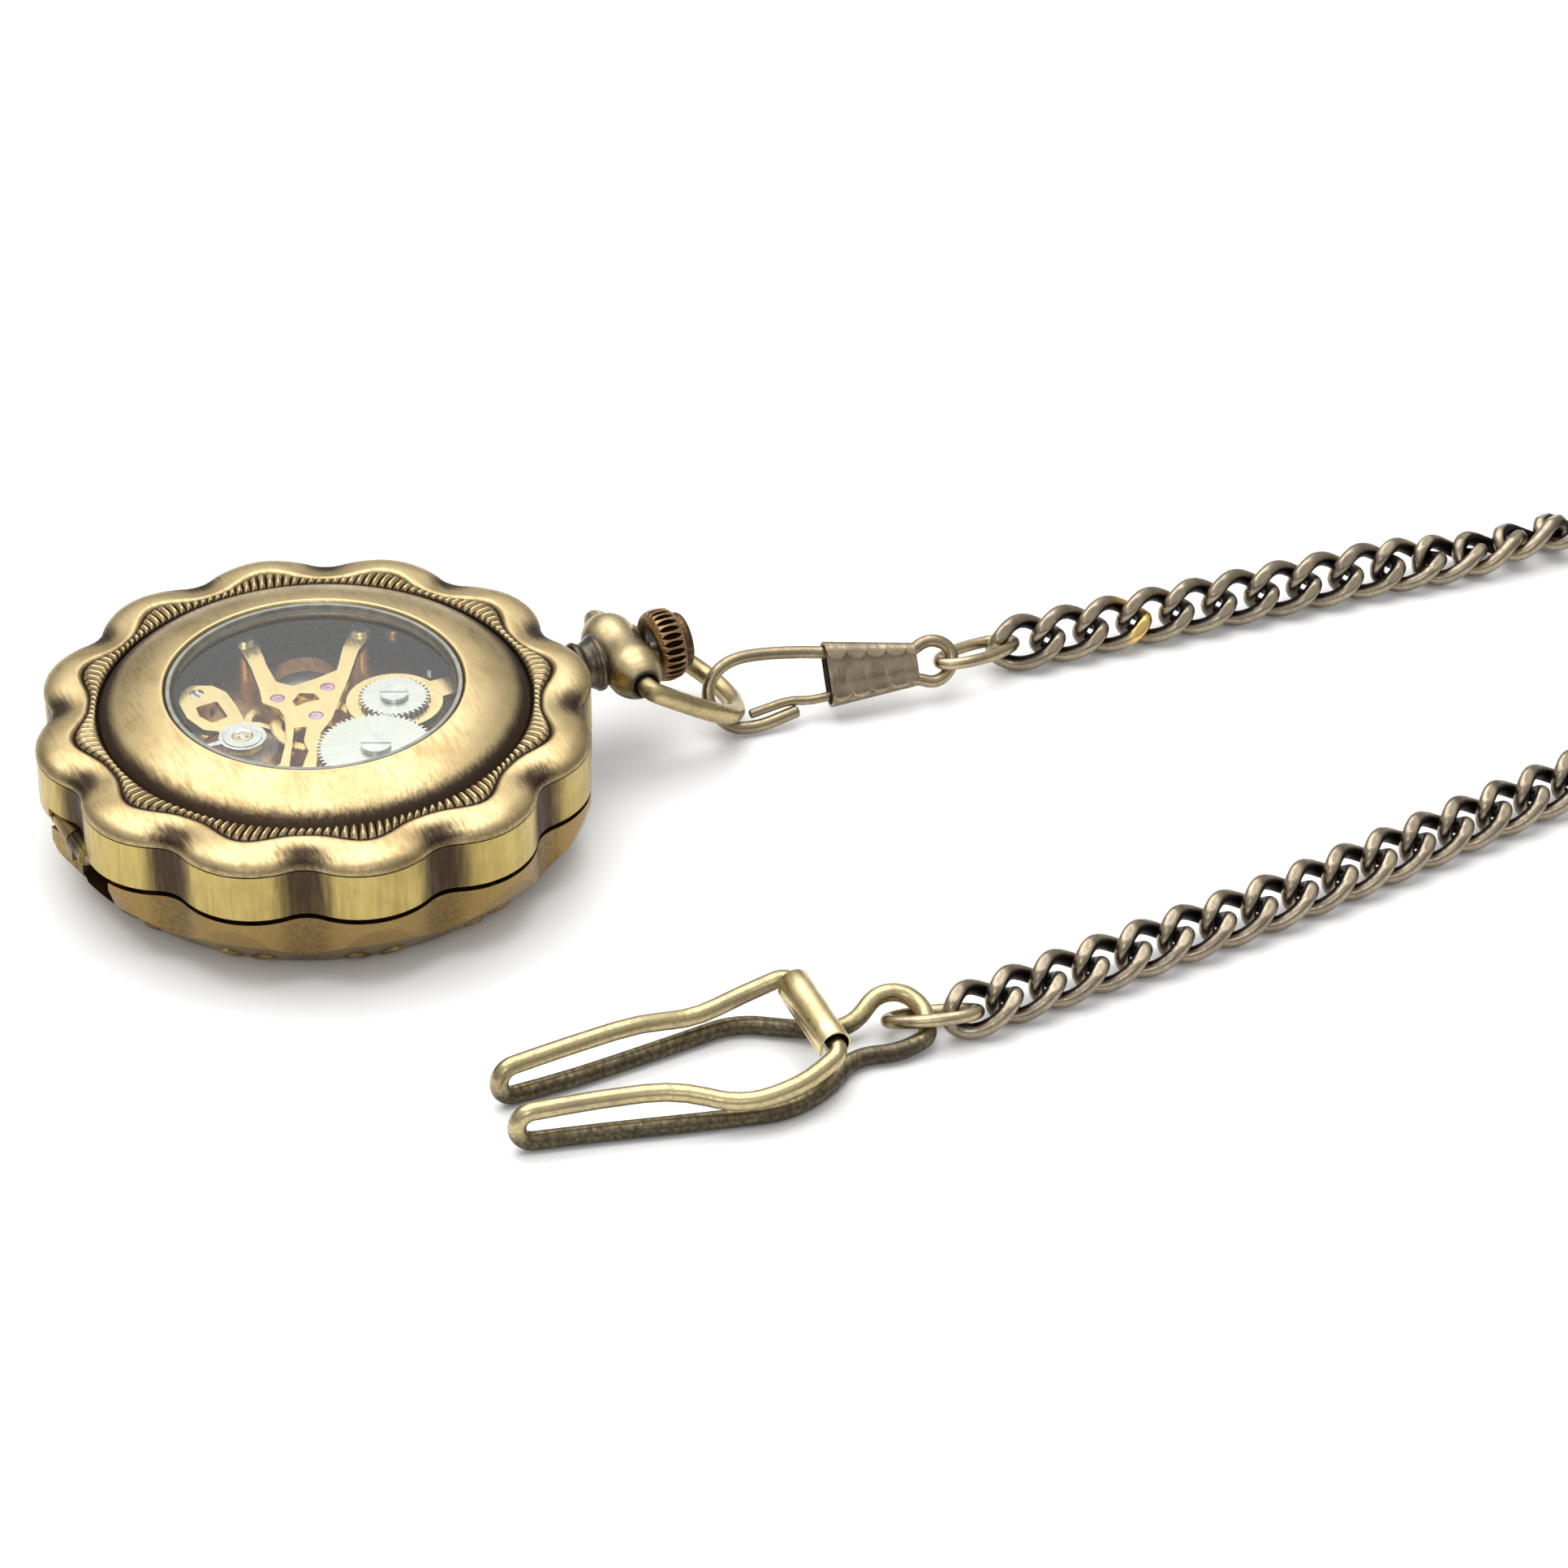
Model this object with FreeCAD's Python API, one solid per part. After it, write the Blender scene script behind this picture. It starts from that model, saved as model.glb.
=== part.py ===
import FreeCAD, Part
import math
import os
from FreeCAD import Vector, Rotation, Placement

# Hunter-case skeleton pocket watch with its chain, lying face down on its front cover.
# Millimetres. Origin: centre of the case on the table plane. +Z points out of the display
# back, +Y towards the pendant and crown (12 o'clock), and the lid hinge is at -Y.

# ---- case -------------------------------------------------------------------------------
LOBE_COUNT = 12
LOBE_PEAK_R = 23.3
LOBE_VALLEY_R = 21.75
VALLEY_FILLET_R = 3.0
FIRST_LOBE_DEG = 80.2
LID_RIM_Z = 6.35
BAND_Z = (6.85, 11.0)
COVER_SHOULDER_Z = 12.45
ROPE_TOP_Z = 13.0
WINDOW_RIM_Z = 14.44
WINDOW_RIM_R = 12.46
CASE_BORE_R = 20.2
STEM_Z = 8.95
HINGE_Y = -21.9
HINGE_Z = 6.6

# ---- movement ---------------------------------------------------------------------------
PLATE_Z = (7.9, 9.3)
PLATE_R = 17.5
BRIDGE_Z = (11.6, 12.2)
WHEEL_TOP_Z = (12.26, 12.7)
BARREL_XY = (8.46, 1.89)
CROWN_WHEEL_XY = (2.27, 6.13)
SECOND_XY = (1.44, -0.50)
THIRD_XY = (-2.01, 1.93)
FOURTH_XY = (-2.27, -2.42)
ESCAPE_XY = (-1.30, -5.47)
PALLET_XY = (-0.45, -7.45)
BALANCE_XY = (1.90, -7.18)
MINUTE_WHEEL_XY = (-2.6, 1.5)
ARBOR_R = 0.18
ARBOR_HOLE_R = 0.24
BRIDGE_FEET = ((-11.5, -1.7), (-8.6, 7.6), (10.8, -6.5))
BARREL_BRIDGE_SCREWS = ((14.7, -3.0), (12.0, 9.8), (2.2, 13.6))
CASE_SCREWS = ((-11.84, 11.84), (13.02, -10.53))

# ---- pendant, bow and chain ---------------------------------------------------------------
PENDANT_Y = 27.7
CROWN_Y = 30.3
NECK_COLLAR_R = 2.45
BOW_WIRE = 1.7
BOW_REACH = 12.1
BOW_HALF_WIDTH = 5.6
BOW_TILT_DEG = -35.0
CLASP_WIRE = 1.1
CHAIN_WIRE = 1.3
CHAIN_PITCH = 4.06
LINK_HALF_LENGTH = 3.0
LINK_HALF_WIDTH = 1.85
LINK_TWIST_DEG = -62.0
CHAIN_START = (4.3, 64.1)
CHAIN_HEADING_DEG = 84.4
CLIP_WIRE = 1.5
CLIP_Z = 0.75

Z_AXIS = Vector(0, 0, 1)


# ---- shape helpers --------------------------------------------------------------------------
def polar(radius, degrees, z=0.0):
    a = math.radians(degrees)
    return Vector(radius * math.cos(a), radius * math.sin(a), z)


def cylinder(radius, z0, z1, xy=(0, 0)):
    return Part.makeCylinder(radius, z1 - z0, Vector(xy[0], xy[1], z0))


def ring(outer, inner, z0, z1, xy=(0, 0)):
    return cylinder(outer, z0, z1, xy).cut(cylinder(inner, z0 - 1, z1 + 1, xy))


def block(x, y, z):
    """A box from three (low, high) pairs."""
    return Part.makeBox(x[1] - x[0], y[1] - y[0], z[1] - z[0], Vector(x[0], y[0], z[0]))


def fuse(shapes):
    shapes = list(shapes)
    if len(shapes) == 1:
        return shapes[0]
    return shapes[0].multiFuse(shapes[1:]).removeSplitter()


def cut(shape, tools):
    return shape.cut(Part.makeCompound(list(tools)))


def turned(profile, xy=(0, 0)):
    """Solid of revolution about a vertical axis, from a closed (radius, z) outline."""
    wire = Part.makePolygon([Vector(r, 0, z) for r, z in profile + profile[:1]])
    solid = Part.Face(wire).revolve(Vector(0, 0, 0), Z_AXIS, 360)
    solid.translate(Vector(xy[0], xy[1], 0))
    return solid


def turned_on(profile, start, axis):
    """Solid of revolution about any axis, from a closed (radius, distance along) outline."""
    solid = turned(profile)
    solid.Placement = Placement(start, Rotation(Z_AXIS, axis))
    return solid


def plate(points, z0, z1, soften=0.0):
    """A flat plate from an outline; soften rounds its convex corners."""
    wire = Part.makePolygon([Vector(x, y, z0) for x, y in points + points[:1]])
    face = Part.Face(wire)
    if soften:
        face = face.makeOffset2D(-soften).makeOffset2D(soften)
    return face.extrude(Vector(0, 0, z1 - z0))


def lobed_prism(peak_r, valley_r, z0, z1):
    """The twelve-lobed outline: convex lobe arcs joined by tangent concave arcs."""
    step = 180.0 / LOBE_COUNT
    hollow_at = valley_r + VALLEY_FILLET_R
    reach = hollow_at * math.cos(math.radians(step))
    lobe_r = ((peak_r ** 2 + hollow_at ** 2 - 2 * peak_r * reach - VALLEY_FILLET_R ** 2)
              / (2 * (peak_r - reach + VALLEY_FILLET_R)))
    share = lobe_r / (lobe_r + VALLEY_FILLET_R)
    edges = []
    for k in range(LOBE_COUNT):
        peak = FIRST_LOBE_DEG + 2 * step * k
        lobe_centre = polar(peak_r - lobe_r, peak, z0)
        before = lobe_centre + (polar(hollow_at, peak - step, z0) - lobe_centre) * share
        after = lobe_centre + (polar(hollow_at, peak + step, z0) - lobe_centre) * share
        next_centre = polar(peak_r - lobe_r, peak + 2 * step, z0)
        onward = next_centre + (polar(hollow_at, peak + step, z0) - next_centre) * share
        edges.append(Part.Arc(before, polar(peak_r, peak, z0), after).toShape())
        edges.append(Part.Arc(after, polar(valley_r, peak + step, z0), onward).toShape())
    return Part.Face(Part.Wire(edges)).extrude(Vector(0, 0, z1 - z0))


def gear(teeth, module, z0, z1, xy, bore=0.0, phase=0.0, crossings=0):
    """A spur wheel with straight-flanked teeth and room for its mate to turn."""
    pitch_r = teeth * module / 2
    tip_r = pitch_r + 0.9 * module
    root_r = pitch_r - 1.15 * module
    turn = 360.0 / teeth
    points = []
    for k in range(teeth):
        middle = phase + k * turn
        points.append(polar(root_r, middle - 0.30 * turn, z0))
        points.append(polar(tip_r, middle - 0.13 * turn, z0))
        points.append(polar(tip_r, middle + 0.13 * turn, z0))
        points.append(polar(root_r, middle + 0.30 * turn, z0))
    face = Part.Face(Part.makePolygon(points + points[:1]))
    wheel = face.extrude(Vector(0, 0, z1 - z0))
    tools = []
    if bore:
        tools.append(cylinder(bore, z0 - 1, z1 + 1))
    if crossings:
        tools += wheel_openings(crossings, root_r * 0.32, root_r * 0.80, z0, z1)
    if tools:
        wheel = cut(wheel, tools)
    wheel.translate(Vector(xy[0], xy[1], 0))
    return wheel


def meshed(teeth, xy, mate_teeth, mate_xy, mate_phase=0.0):
    """The phase that puts this wheel's tooth gap over its mate's tooth."""
    line = math.degrees(math.atan2(xy[1] - mate_xy[1], xy[0] - mate_xy[0]))
    ahead = ((line - mate_phase) * mate_teeth / 360.0) % 1.0
    return line + 180.0 + (ahead + 0.5) * 360.0 / teeth


def wheel_openings(count, inner, outer, z0, z1):
    """The gaps between a wheel's arms, as ring sectors."""
    gap = 360.0 / count - 22
    face = Part.Face(Part.makePolygon([
        Vector(inner, 0, z0 - 1), Vector(outer, 0, z0 - 1), Vector(outer, 0, z1 + 1),
        Vector(inner, 0, z1 + 1), Vector(inner, 0, z0 - 1)]))
    sector = face.revolve(Vector(0, 0, 0), Z_AXIS, gap)
    openings = []
    for k in range(count):
        piece = sector.copy()
        piece.rotate(Vector(0, 0, 0), Z_AXIS, k * 360.0 / count)
        openings.append(piece)
    return openings


def slotted_screw(head_r, shank_r, z0, z_head, z1, xy, slot_deg=0):
    """A cheese-head screw, head up, from the shank's foot z0 to the head's top z1."""
    body = fuse([cylinder(shank_r, z0, z_head, xy), cylinder(head_r, z_head, z1, xy)])
    slot = block((-head_r - 1, head_r + 1), (-0.11, 0.11), (z1 - 0.18, z1 + 1))
    slot.rotate(Vector(0, 0, 0), Z_AXIS, slot_deg)
    slot.translate(Vector(xy[0], xy[1], 0))
    return body.cut(slot)


def bent_wire(points, wire, closed=False, tightest=None):
    """Round wire along straight runs joined by tangent bends, fused into one solid."""
    points = [Vector(*p) for p in points]
    count = len(points)
    pieces = []
    starts, ends = list(points), list(points)
    corners = range(count) if closed else range(1, count - 1)
    for i in corners:
        before, here, after = points[i - 1], points[i], points[(i + 1) % count]
        into = (here - before).normalize()
        out = (after - here).normalize()
        turn = into.getAngle(out)
        if turn < 0.01:
            continue
        run = min((here - before).Length, (after - here).Length)
        radius = 0.47 * run / math.tan(turn / 2)
        if tightest and turn > 1.0:
            radius = min(radius, tightest)
        setback = radius * math.tan(turn / 2)
        ends[i] = here - into * setback
        starts[i] = here + out * setback
        axis = into.cross(out).normalize()
        centre = ends[i] + axis.cross(into) * radius
        disc = Part.Face(Part.Wire(Part.makeCircle(wire / 2, ends[i], into)))
        pieces.append(disc.revolve(centre, axis, math.degrees(turn)))
    for i in range(count if closed else count - 1):
        j = (i + 1) % count
        run = ends[j] - starts[i]
        if run.Length > 1e-4:
            pieces.append(Part.makeCylinder(wire / 2, run.Length, starts[i], run))
    return fuse(pieces)


# ---- case ---------------------------------------------------------------------------------
def make_case_band():
    band = lobed_prism(LOBE_PEAK_R - 0.05, LOBE_VALLEY_R - 0.05, *BAND_Z)
    low, high = BAND_Z
    stem_hole = Part.makeCylinder(1.72, 8, Vector(0, 19, STEM_Z), Vector(0, 1, 0))
    tongue_pocket = block((-1.85, 1.85), (-26, -20.7), (low - 1, 7.75))
    pin_hole = Part.makeCylinder(0.42, 9.6, Vector(-4.8, HINGE_Y, HINGE_Z), Vector(1, 0, 0))
    knuckles = []
    for side in (-1, 1):
        x = (1.85, 4.4) if side > 0 else (-4.4, -1.85)
        knuckles.append(Part.makeCylinder(0.85, x[1] - x[0], Vector(x[0], HINGE_Y, HINGE_Z),
                                          Vector(1, 0, 0)))
        knuckles.append(block(x, (HINGE_Y - 0.6, HINGE_Y + 0.7), (HINGE_Z, 7.4)))
    ring_seat = cylinder(CASE_BORE_R, low - 1, high + 1)
    catch_pocket = block((-1.8, 1.8), (19, 21.1), (low - 1, 7.35))
    band = cut(band, [ring_seat, stem_hole, tongue_pocket, catch_pocket])
    return fuse([band] + knuckles).cut(pin_hole)


def make_back_cover():
    z = BAND_Z[1]
    shell = lobed_prism(LOBE_PEAK_R, LOBE_VALLEY_R, z, COVER_SHOULDER_Z)
    top_edges = [e for e in shell.Edges if e.BoundBox.ZMin > COVER_SHOULDER_Z - 0.01]
    shell = shell.makeFillet(1.3, top_edges)
    rope = turned([(17.9, z), (20.6, z), (20.6, 12.6), (20.1, 12.95), (19.2, ROPE_TOP_Z),
                   (18.3, 12.95), (17.9, 12.6)])
    boss = turned([(0, z), (18.0, z), (17.7, 12.5), (17.2, 12.9), (16.0, 13.55),
                   (14.6, 14.05), (13.3, 14.34), (WINDOW_RIM_R, WINDOW_RIM_Z), (0, WINDOW_RIM_Z)])
    cavity = turned([(0, z - 1), (19.9, z - 1), (19.9, 11.6), (18.0, 11.95), (17.0, 12.5), (15.0, 13.05),
                     (12.2, 13.2), (11.7, 13.25), (11.7, 13.5), (12.2, 13.5), (12.2, 15), (0, 15)])
    return fuse([shell, rope, boss]).cut(cavity)


def make_front_cover():
    """The hunter lid: a thin lobed dish with a hinge tongue between two rim notches."""
    outline = lobed_prism(LOBE_PEAK_R - 0.1, LOBE_VALLEY_R - 0.1, 0, LID_RIM_Z)
    dish = turned([(0, 0.0), (6.6, 0.0), (7.2, 0.45), (16.2, 0.45), (16.8, 0.0), (18.7, 0.0),
                   (19.5, 0.55), (22.7, 3.9), (23.4, LID_RIM_Z), (0, LID_RIM_Z)])
    hollow = turned([(0, 0.85), (18.0, 0.85), (20.9, 4.2), (21.05, 7), (0, 7)])
    lid = outline.common(dish).cut(hollow)
    notches = [block((1.7, 8.2), (-26, -18.5), (3.0, 7)), block((-8.2, -1.7), (-26, -18.5), (3.0, 7))]
    lid = cut(lid, notches)
    knuckle = Part.makeCylinder(0.85, 3.3, Vector(-1.65, HINGE_Y, HINGE_Z), Vector(1, 0, 0))
    tongue = block((-1.65, 1.65), (HINGE_Y - 0.5, HINGE_Y + 0.5), (4.5, HINGE_Z))
    pin_hole = Part.makeCylinder(0.47, 4.0, Vector(-2.0, HINGE_Y, HINGE_Z), Vector(1, 0, 0))
    clear_rim = block((-1.9, 1.9), (-26, -18), (6.0, 7))
    return cut(fuse([lid.cut(clear_rim), knuckle, tongue]), [pin_hole])


def make_hinge_pin():
    return Part.makeCylinder(0.40, 9.4, Vector(-4.7, HINGE_Y, HINGE_Z), Vector(1, 0, 0))


def make_lid_spring():
    """The curved leaf that lifts the lid, lying against the movement ring."""
    leaf = ring(18.9, 18.55, 6.95, 7.25)
    return leaf.common(block((-9, 9), (-20, -14), (6, 8)))


def make_lid_catch():
    """The latch nose at 12 o'clock that holds the lid's rim."""
    nose = block((-1.6, 1.6), (19.7, 20.15), (7.02, 7.27))
    hook = block((-1.2, 1.2), (19.7, 20.9), (6.45, 7.1))
    return fuse([nose, hook])


def make_back_crystal():
    return turned([(0, 13.52), (11.85, 13.52), (11.85, 14.0), (11.5, 14.12), (0, 14.2)])


def make_gasket():
    return ring(12.19, 11.87, 13.52, 14.25)


def make_front_bezel():
    rim = turned([(18.65, 5.55), (19.9, 5.75), (20.15, 6.3), (20.15, 7.0), (19.0, 7.0),
                  (19.0, 6.6), (18.65, 6.6)])
    return rim.cut(block((-1.9, 1.9), (19.1, 21), (6.1, 7.1)))


def make_front_crystal():
    return turned([(0, 5.12), (12.0, 5.2), (17.6, 5.45), (18.6, 5.75), (18.6, 6.4), (18.1, 6.4),
                   (18.1, 6.0), (17.2, 5.85), (12.0, 5.6), (0, 5.55)])


def make_dial():
    return cut(cylinder(18.3, 6.66, 6.84), [cylinder(1.3, 6, 8)])


def make_movement_ring():
    seat = turned([(17.7, 7.3), (20.0, 7.3), (20.0, 10.6), (18.6, 10.6), (18.6, 9.3),
                   (17.55, 9.3), (17.55, 8.6), (17.7, 8.6)])
    slot = block((-1.0, 1.0), (15, 21), (STEM_Z - 1.0, 12))
    return seat.cut(slot)


def make_case_screws():
    """Two dog screws that hold the movement in its ring."""
    return [slotted_screw(1.25, 0.45, 8.0, 9.34, 9.75, xy, 40) for xy in CASE_SCREWS]


# ---- pendant and winding -------------------------------------------------------------------
def make_pendant_neck():
    profile = [(0.68, 20.3), (1.68, 20.3), (1.68, 23.15), (2.05, 23.25), (2.2, 23.5), (2.1, 23.85),
               (1.95, 24.15), (2.05, 24.5), (2.3, 24.8), (NECK_COLLAR_R, 25.1), (NECK_COLLAR_R, 25.5),
               (2.3, 25.6), (1.6, 25.6), (1.6, 25.75), (0.68, 25.75)]
    return turned_on(profile, Vector(0, 0, STEM_Z), Vector(0, 1, 0))


def make_pendant_head():
    """The rounded cross barrel of the pendant, with a socket for each end of the bow."""
    half = [(0, 0), (2.15, 0), (2.2, 0.8), (2.33, 1.7), (2.4, 2.5), (2.33, 3.1), (2.1, 3.75),
            (1.75, 4.3), (1.35, 4.75), (1.2, 4.95), (0, 4.95)]
    centre = Vector(0, PENDANT_Y, STEM_Z)
    barrel = fuse([turned_on(half, centre, Vector(side, 0, 0)) for side in (-1, 1)])
    bore = Part.makeCylinder(0.68, 8, Vector(0, 24, STEM_Z), Vector(0, 1, 0))
    neck_seat = [Part.makeCylinder(1.62, 1.2, Vector(0, 24.6, STEM_Z), Vector(0, 1, 0)),
                 Part.makeCylinder(NECK_COLLAR_R + 0.05, 1.05, Vector(0, 24.6, STEM_Z), Vector(0, 1, 0))]
    sockets = [Part.makeCylinder(0.86, 3, centre + Vector(side * 3.7, 0, 0), Vector(side, 0, 0))
               for side in (-1, 1)]
    return cut(barrel, [bore] + neck_seat + sockets)


def make_crown():
    """A barrel crown with oval flutes and a turned cap disc."""
    knob = [(0.5, 0), (2.55, 0), (3.0, 0.5), (3.12, 1.2), (3.0, 2.0), (2.6, 2.45),
            (2.35, 2.5), (2.4, 2.65), (2.3, 3.1), (1.9, 3.25), (0.5, 3.25)]
    crown = turned_on(knob, Vector(0, CROWN_Y, STEM_Z), Vector(0, 1, 0))
    flutes = []
    for k in range(28):
        a = math.radians(k * 360 / 28.0)
        centre = Vector(3.32 * math.cos(a), CROWN_Y + 0.25, STEM_Z + 3.32 * math.sin(a))
        flutes.append(Part.makeCylinder(0.27, 1.95, centre, Vector(0, 1, 0)))
    return cut(crown, flutes)


def make_winding_stem():
    end = CROWN_Y + 3.1
    stem = [(0, 4.3), (0.38, 4.3), (0.38, 5.0), (0.5, 5.0), (0.5, end), (0, end)]
    return turned_on(stem, Vector(0, 0, STEM_Z), Vector(0, 1, 0))


def crown_teeth(teeth, root_r, tip_r, y0, y1, bore):
    """A toothed collar on the stem's axis."""
    points = []
    for k in range(teeth):
        turn = 360.0 / teeth
        for share, radius in ((-0.3, root_r), (-0.15, tip_r), (0.15, tip_r), (0.3, root_r)):
            p = polar(radius, (k + share) * turn)
            points.append(Vector(p.x, y0, STEM_Z + p.y))
    collar = Part.Face(Part.makePolygon(points + points[:1])).extrude(Vector(0, y1 - y0, 0))
    hole = Part.makeCylinder(bore, y1 - y0 + 2, Vector(0, y0 - 1, STEM_Z), Vector(0, 1, 0))
    return collar.cut(hole)


def make_setting_lever():
    arm = plate([(-2.2, 8.7), (-1.4, 8.9), (-1.5, 10.2), (-3.4, 12.3), (-4.2, 12.0)], 9.42, 9.75, 0.1)
    pivot = cylinder(0.3, 9.42, 10.1, (-3.7, 11.8))
    return fuse([arm, pivot])


# ---- movement ----------------------------------------------------------------------------------
def make_main_plate():
    solid = cylinder(PLATE_R, *PLATE_Z)
    low, high = PLATE_Z
    tools = [block((-2.1, 2.1), (3.9, 8.5), (low - 1, high + 1)),
             block((-0.75, 0.75), (8, 19), (STEM_Z - 0.75, high + 1)),
             cylinder(0.95, low - 1, high + 1)]
    for xy in (SECOND_XY, THIRD_XY, FOURTH_XY, ESCAPE_XY, PALLET_XY, BALANCE_XY, BARREL_XY):
        tools.append(cylinder(ARBOR_HOLE_R, low - 1, high + 1, xy))
    tools.append(cylinder(0.66, low - 1, high + 1, BARREL_XY))
    for xy, radius in (((-8.6, 2.4), 2.6), ((-7.2, -7.6), 1.3), ((-4.3, 7.4), 1.2)):
        tools.append(cylinder(radius, low - 1, high + 1, xy))
    for xy in CASE_SCREWS:
        tools.append(cylinder(0.5, low - 1, high + 1, xy))
    post = cylinder(0.75, high - 0.5, WHEEL_TOP_Z[0] - 0.03, CROWN_WHEEL_XY)
    pillars = [cylinder(1.1, high - 0.5, 11.5, xy) for xy in BARREL_BRIDGE_SCREWS]
    return fuse([cut(solid, tools), post] + pillars)


def make_train_bridge():
    """The Y-shaped skeleton bridge: two arms, three jewel seats and two legs."""
    low, high = BRIDGE_Z
    arm = plate([(-12.6, -2.6), (-12.3, -0.6), (-9.9, -0.9), (-7.2, -1.4), (-4.6, -1.6), (-3.4, -0.6),
                 (-3.6, 1.6), (-4.0, 3.6), (-7.0, 5.4), (-9.6, 7.4), (-8.4, 9.0), (-5.9, 6.3),
                 (-2.6, 4.1), (0.0, 2.2), (2.4, 0.5), (3.9, -1.1), (5.8, -2.1), (8.4, -3.4),
                 (11.6, -5.2), (11.8, -7.6), (9.6, -7.7), (7.0, -6.0), (3.6, -4.0), (0.5, -2.9),
                 (-0.8, -2.9), (-2.2, -3.8), (-4.0, -3.3), (-7.4, -2.7), (-9.6, -2.5)], low, high, 0.2)
    slot = plate([(2.6, -1.8), (4.4, -2.8), (5.9, -3.0), (8.2, -4.6), (7.4, -5.3), (3.5, -3.4),
                  (2.3, -2.8)], low - 1, high + 1, 0.1)
    oval = plate([(-1.3, -1.5), (-2.2, -0.5), (-1.6, 0.6), (-0.6, 0.7), (-0.7, -0.6), (-0.5, -1.5)],
                 low - 1, high + 1, 0.15)
    seats = [cylinder(0.62, low - 1, high + 1, xy) for xy in (SECOND_XY, THIRD_XY, FOURTH_XY)]
    holes = [cylinder(0.5, low - 1, high + 1, xy) for xy in BRIDGE_FEET]
    feet = [cylinder(0.95, PLATE_Z[1], low + 0.1, xy) for xy in BRIDGE_FEET]
    feet_holes = [cylinder(0.5, 10, high + 1, xy) for xy in BRIDGE_FEET]
    return cut(fuse([cut(arm, [slot, oval] + seats + holes)] + feet), feet_holes)


def make_barrel_bridge():
    """The bridge under the ratchet and crown wheels, with arms out to three pillars."""
    low, high = 11.5, 12.2
    pads = [cylinder(3.1, low, high, BARREL_XY), ring(4.0, 3.0, low, high, CROWN_WHEEL_XY)]
    pads += [cylinder(1.3, low, high, xy) for xy in BARREL_BRIDGE_SCREWS]
    arms = [plate([(9.6, -1.0), (14.6, -4.1), (15.5, -2.1), (11.2, 1.8)], low, high),
            plate([(10.0, 3.8), (12.9, 9.0), (11.3, 10.7), (8.2, 4.4)], low, high),
            plate([(3.2, 13.6), (1.0, 13.8), (0.9, 9.4), (3.4, 9.5)], low, high),
            plate([(5.4, 6.4), (7.2, 4.3), (6.0, 3.2), (4.5, 4.6)], low, high)]
    holes = [cylinder(0.5, low - 1, high + 1, xy) for xy in BARREL_BRIDGE_SCREWS]
    holes += [cylinder(1.0, low - 1, high + 1, BARREL_XY),
              cylinder(2.95, low - 1, high + 1, CROWN_WHEEL_XY)]
    return cut(fuse(pads + arms), holes)


def make_balance_cock():
    low, high = 11.7, 12.25
    body = plate([(-6.6, -9.2), (-7.1, -8.2), (-6.3, -6.6), (-4.9, -5.9), (-2.6, -5.9), (-0.4, -6.1),
                  (0.3, -6.9), (0.3, -8.4), (-0.6, -9.6), (-2.8, -10.2), (-5.2, -10.0)], low, high, 0.2)
    table = cylinder(1.75, low, high, BALANCE_XY)
    bar = plate([(-0.9, -8.8), (2.0, -8.3), (2.0, -6.1), (-0.9, -6.2)], low, high)
    window = plate([(-3.9, -9.0), (-4.0, -7.1), (-1.5, -7.1), (-1.2, -8.6), (-2.6, -9.2)],
                   low - 1, high + 1, 0.2)
    foot = cylinder(1.0, PLATE_Z[1], low + 0.1, (-5.8, -8.2))
    screw_hole = cylinder(0.62, 10, high + 1, (-5.8, -8.2))
    staff_hole = cylinder(0.62, low - 1, high + 1, BALANCE_XY)
    return cut(fuse([body, table, bar, foot]), [window, screw_hole, staff_hole])


def make_bridge_jewels():
    """Three pressed ruby bearings for the second, third and fourth wheels."""
    low, high = BRIDGE_Z
    return [ring(0.61, ARBOR_HOLE_R, low, high - 0.02, xy) for xy in (SECOND_XY, THIRD_XY, FOURTH_XY)]


def make_movement_screws():
    """The bridge screws, the balance cock screw and the crown wheel's screw."""
    screws = [slotted_screw(0.85, 0.42, 10.2, BRIDGE_Z[1] + 0.02, 12.55, xy, 35 * i)
              for i, xy in enumerate(BRIDGE_FEET)]
    screws += [slotted_screw(0.85, 0.42, 11.55, 12.22, 12.6, xy, 50 * i)
               for i, xy in enumerate(BARREL_BRIDGE_SCREWS)]
    screws.append(slotted_screw(0.6, 0.4, 10.2, 11.9, 12.1, (-5.8, -8.2), 20))
    screws.append(slotted_screw(1.18, 0.4, WHEEL_TOP_Z[0], WHEEL_TOP_Z[1] + 0.03, 13.08,
                                CROWN_WHEEL_XY, 64))
    return screws


def make_shock_setting():
    """The sprung jewel setting over the balance staff: cup, jewel and lyre spring."""
    cup = turned([(0.45, 12.27), (1.5, 12.27), (1.6, 12.36), (1.6, 12.48), (0.9, 12.48),
                  (0.75, 12.38), (0.45, 12.38)], BALANCE_XY)
    jewel = cylinder(0.42, 12.28, 12.42, BALANCE_XY)
    return [cup, jewel]


def make_regulator():
    """The regulator ring and its pointer, turning on the shock setting's seat."""
    rim = ring(1.95, 1.64, 12.28, 12.42, BALANCE_XY)
    pointer = plate([(1.6, -9.0), (2.2, -9.0), (2.05, -10.6), (1.75, -10.6)], 12.28, 12.42)
    return fuse([rim, pointer])


def make_crown_wheel():
    """A thirty-six tooth wheel with a skirt of down-facing teeth for the winding pinion."""
    wheel = gear(36, 0.15625, *WHEEL_TOP_Z, CROWN_WHEEL_XY, bore=0.45)
    skirt = ring(2.72, 2.3, 11.0, WHEEL_TOP_Z[0] + 0.02, CROWN_WHEEL_XY)
    notches = []
    for k in range(12):
        bar = block((-3.2, 3.2), (-0.11, 0.11), (10.5, 11.3))
        bar.rotate(Vector(0, 0, 0), Z_AXIS, k * 15.0)
        bar.translate(Vector(CROWN_WHEEL_XY[0], CROWN_WHEEL_XY[1], 0))
        notches.append(bar)
    return fuse([wheel, cut(skirt, notches)])


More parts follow.
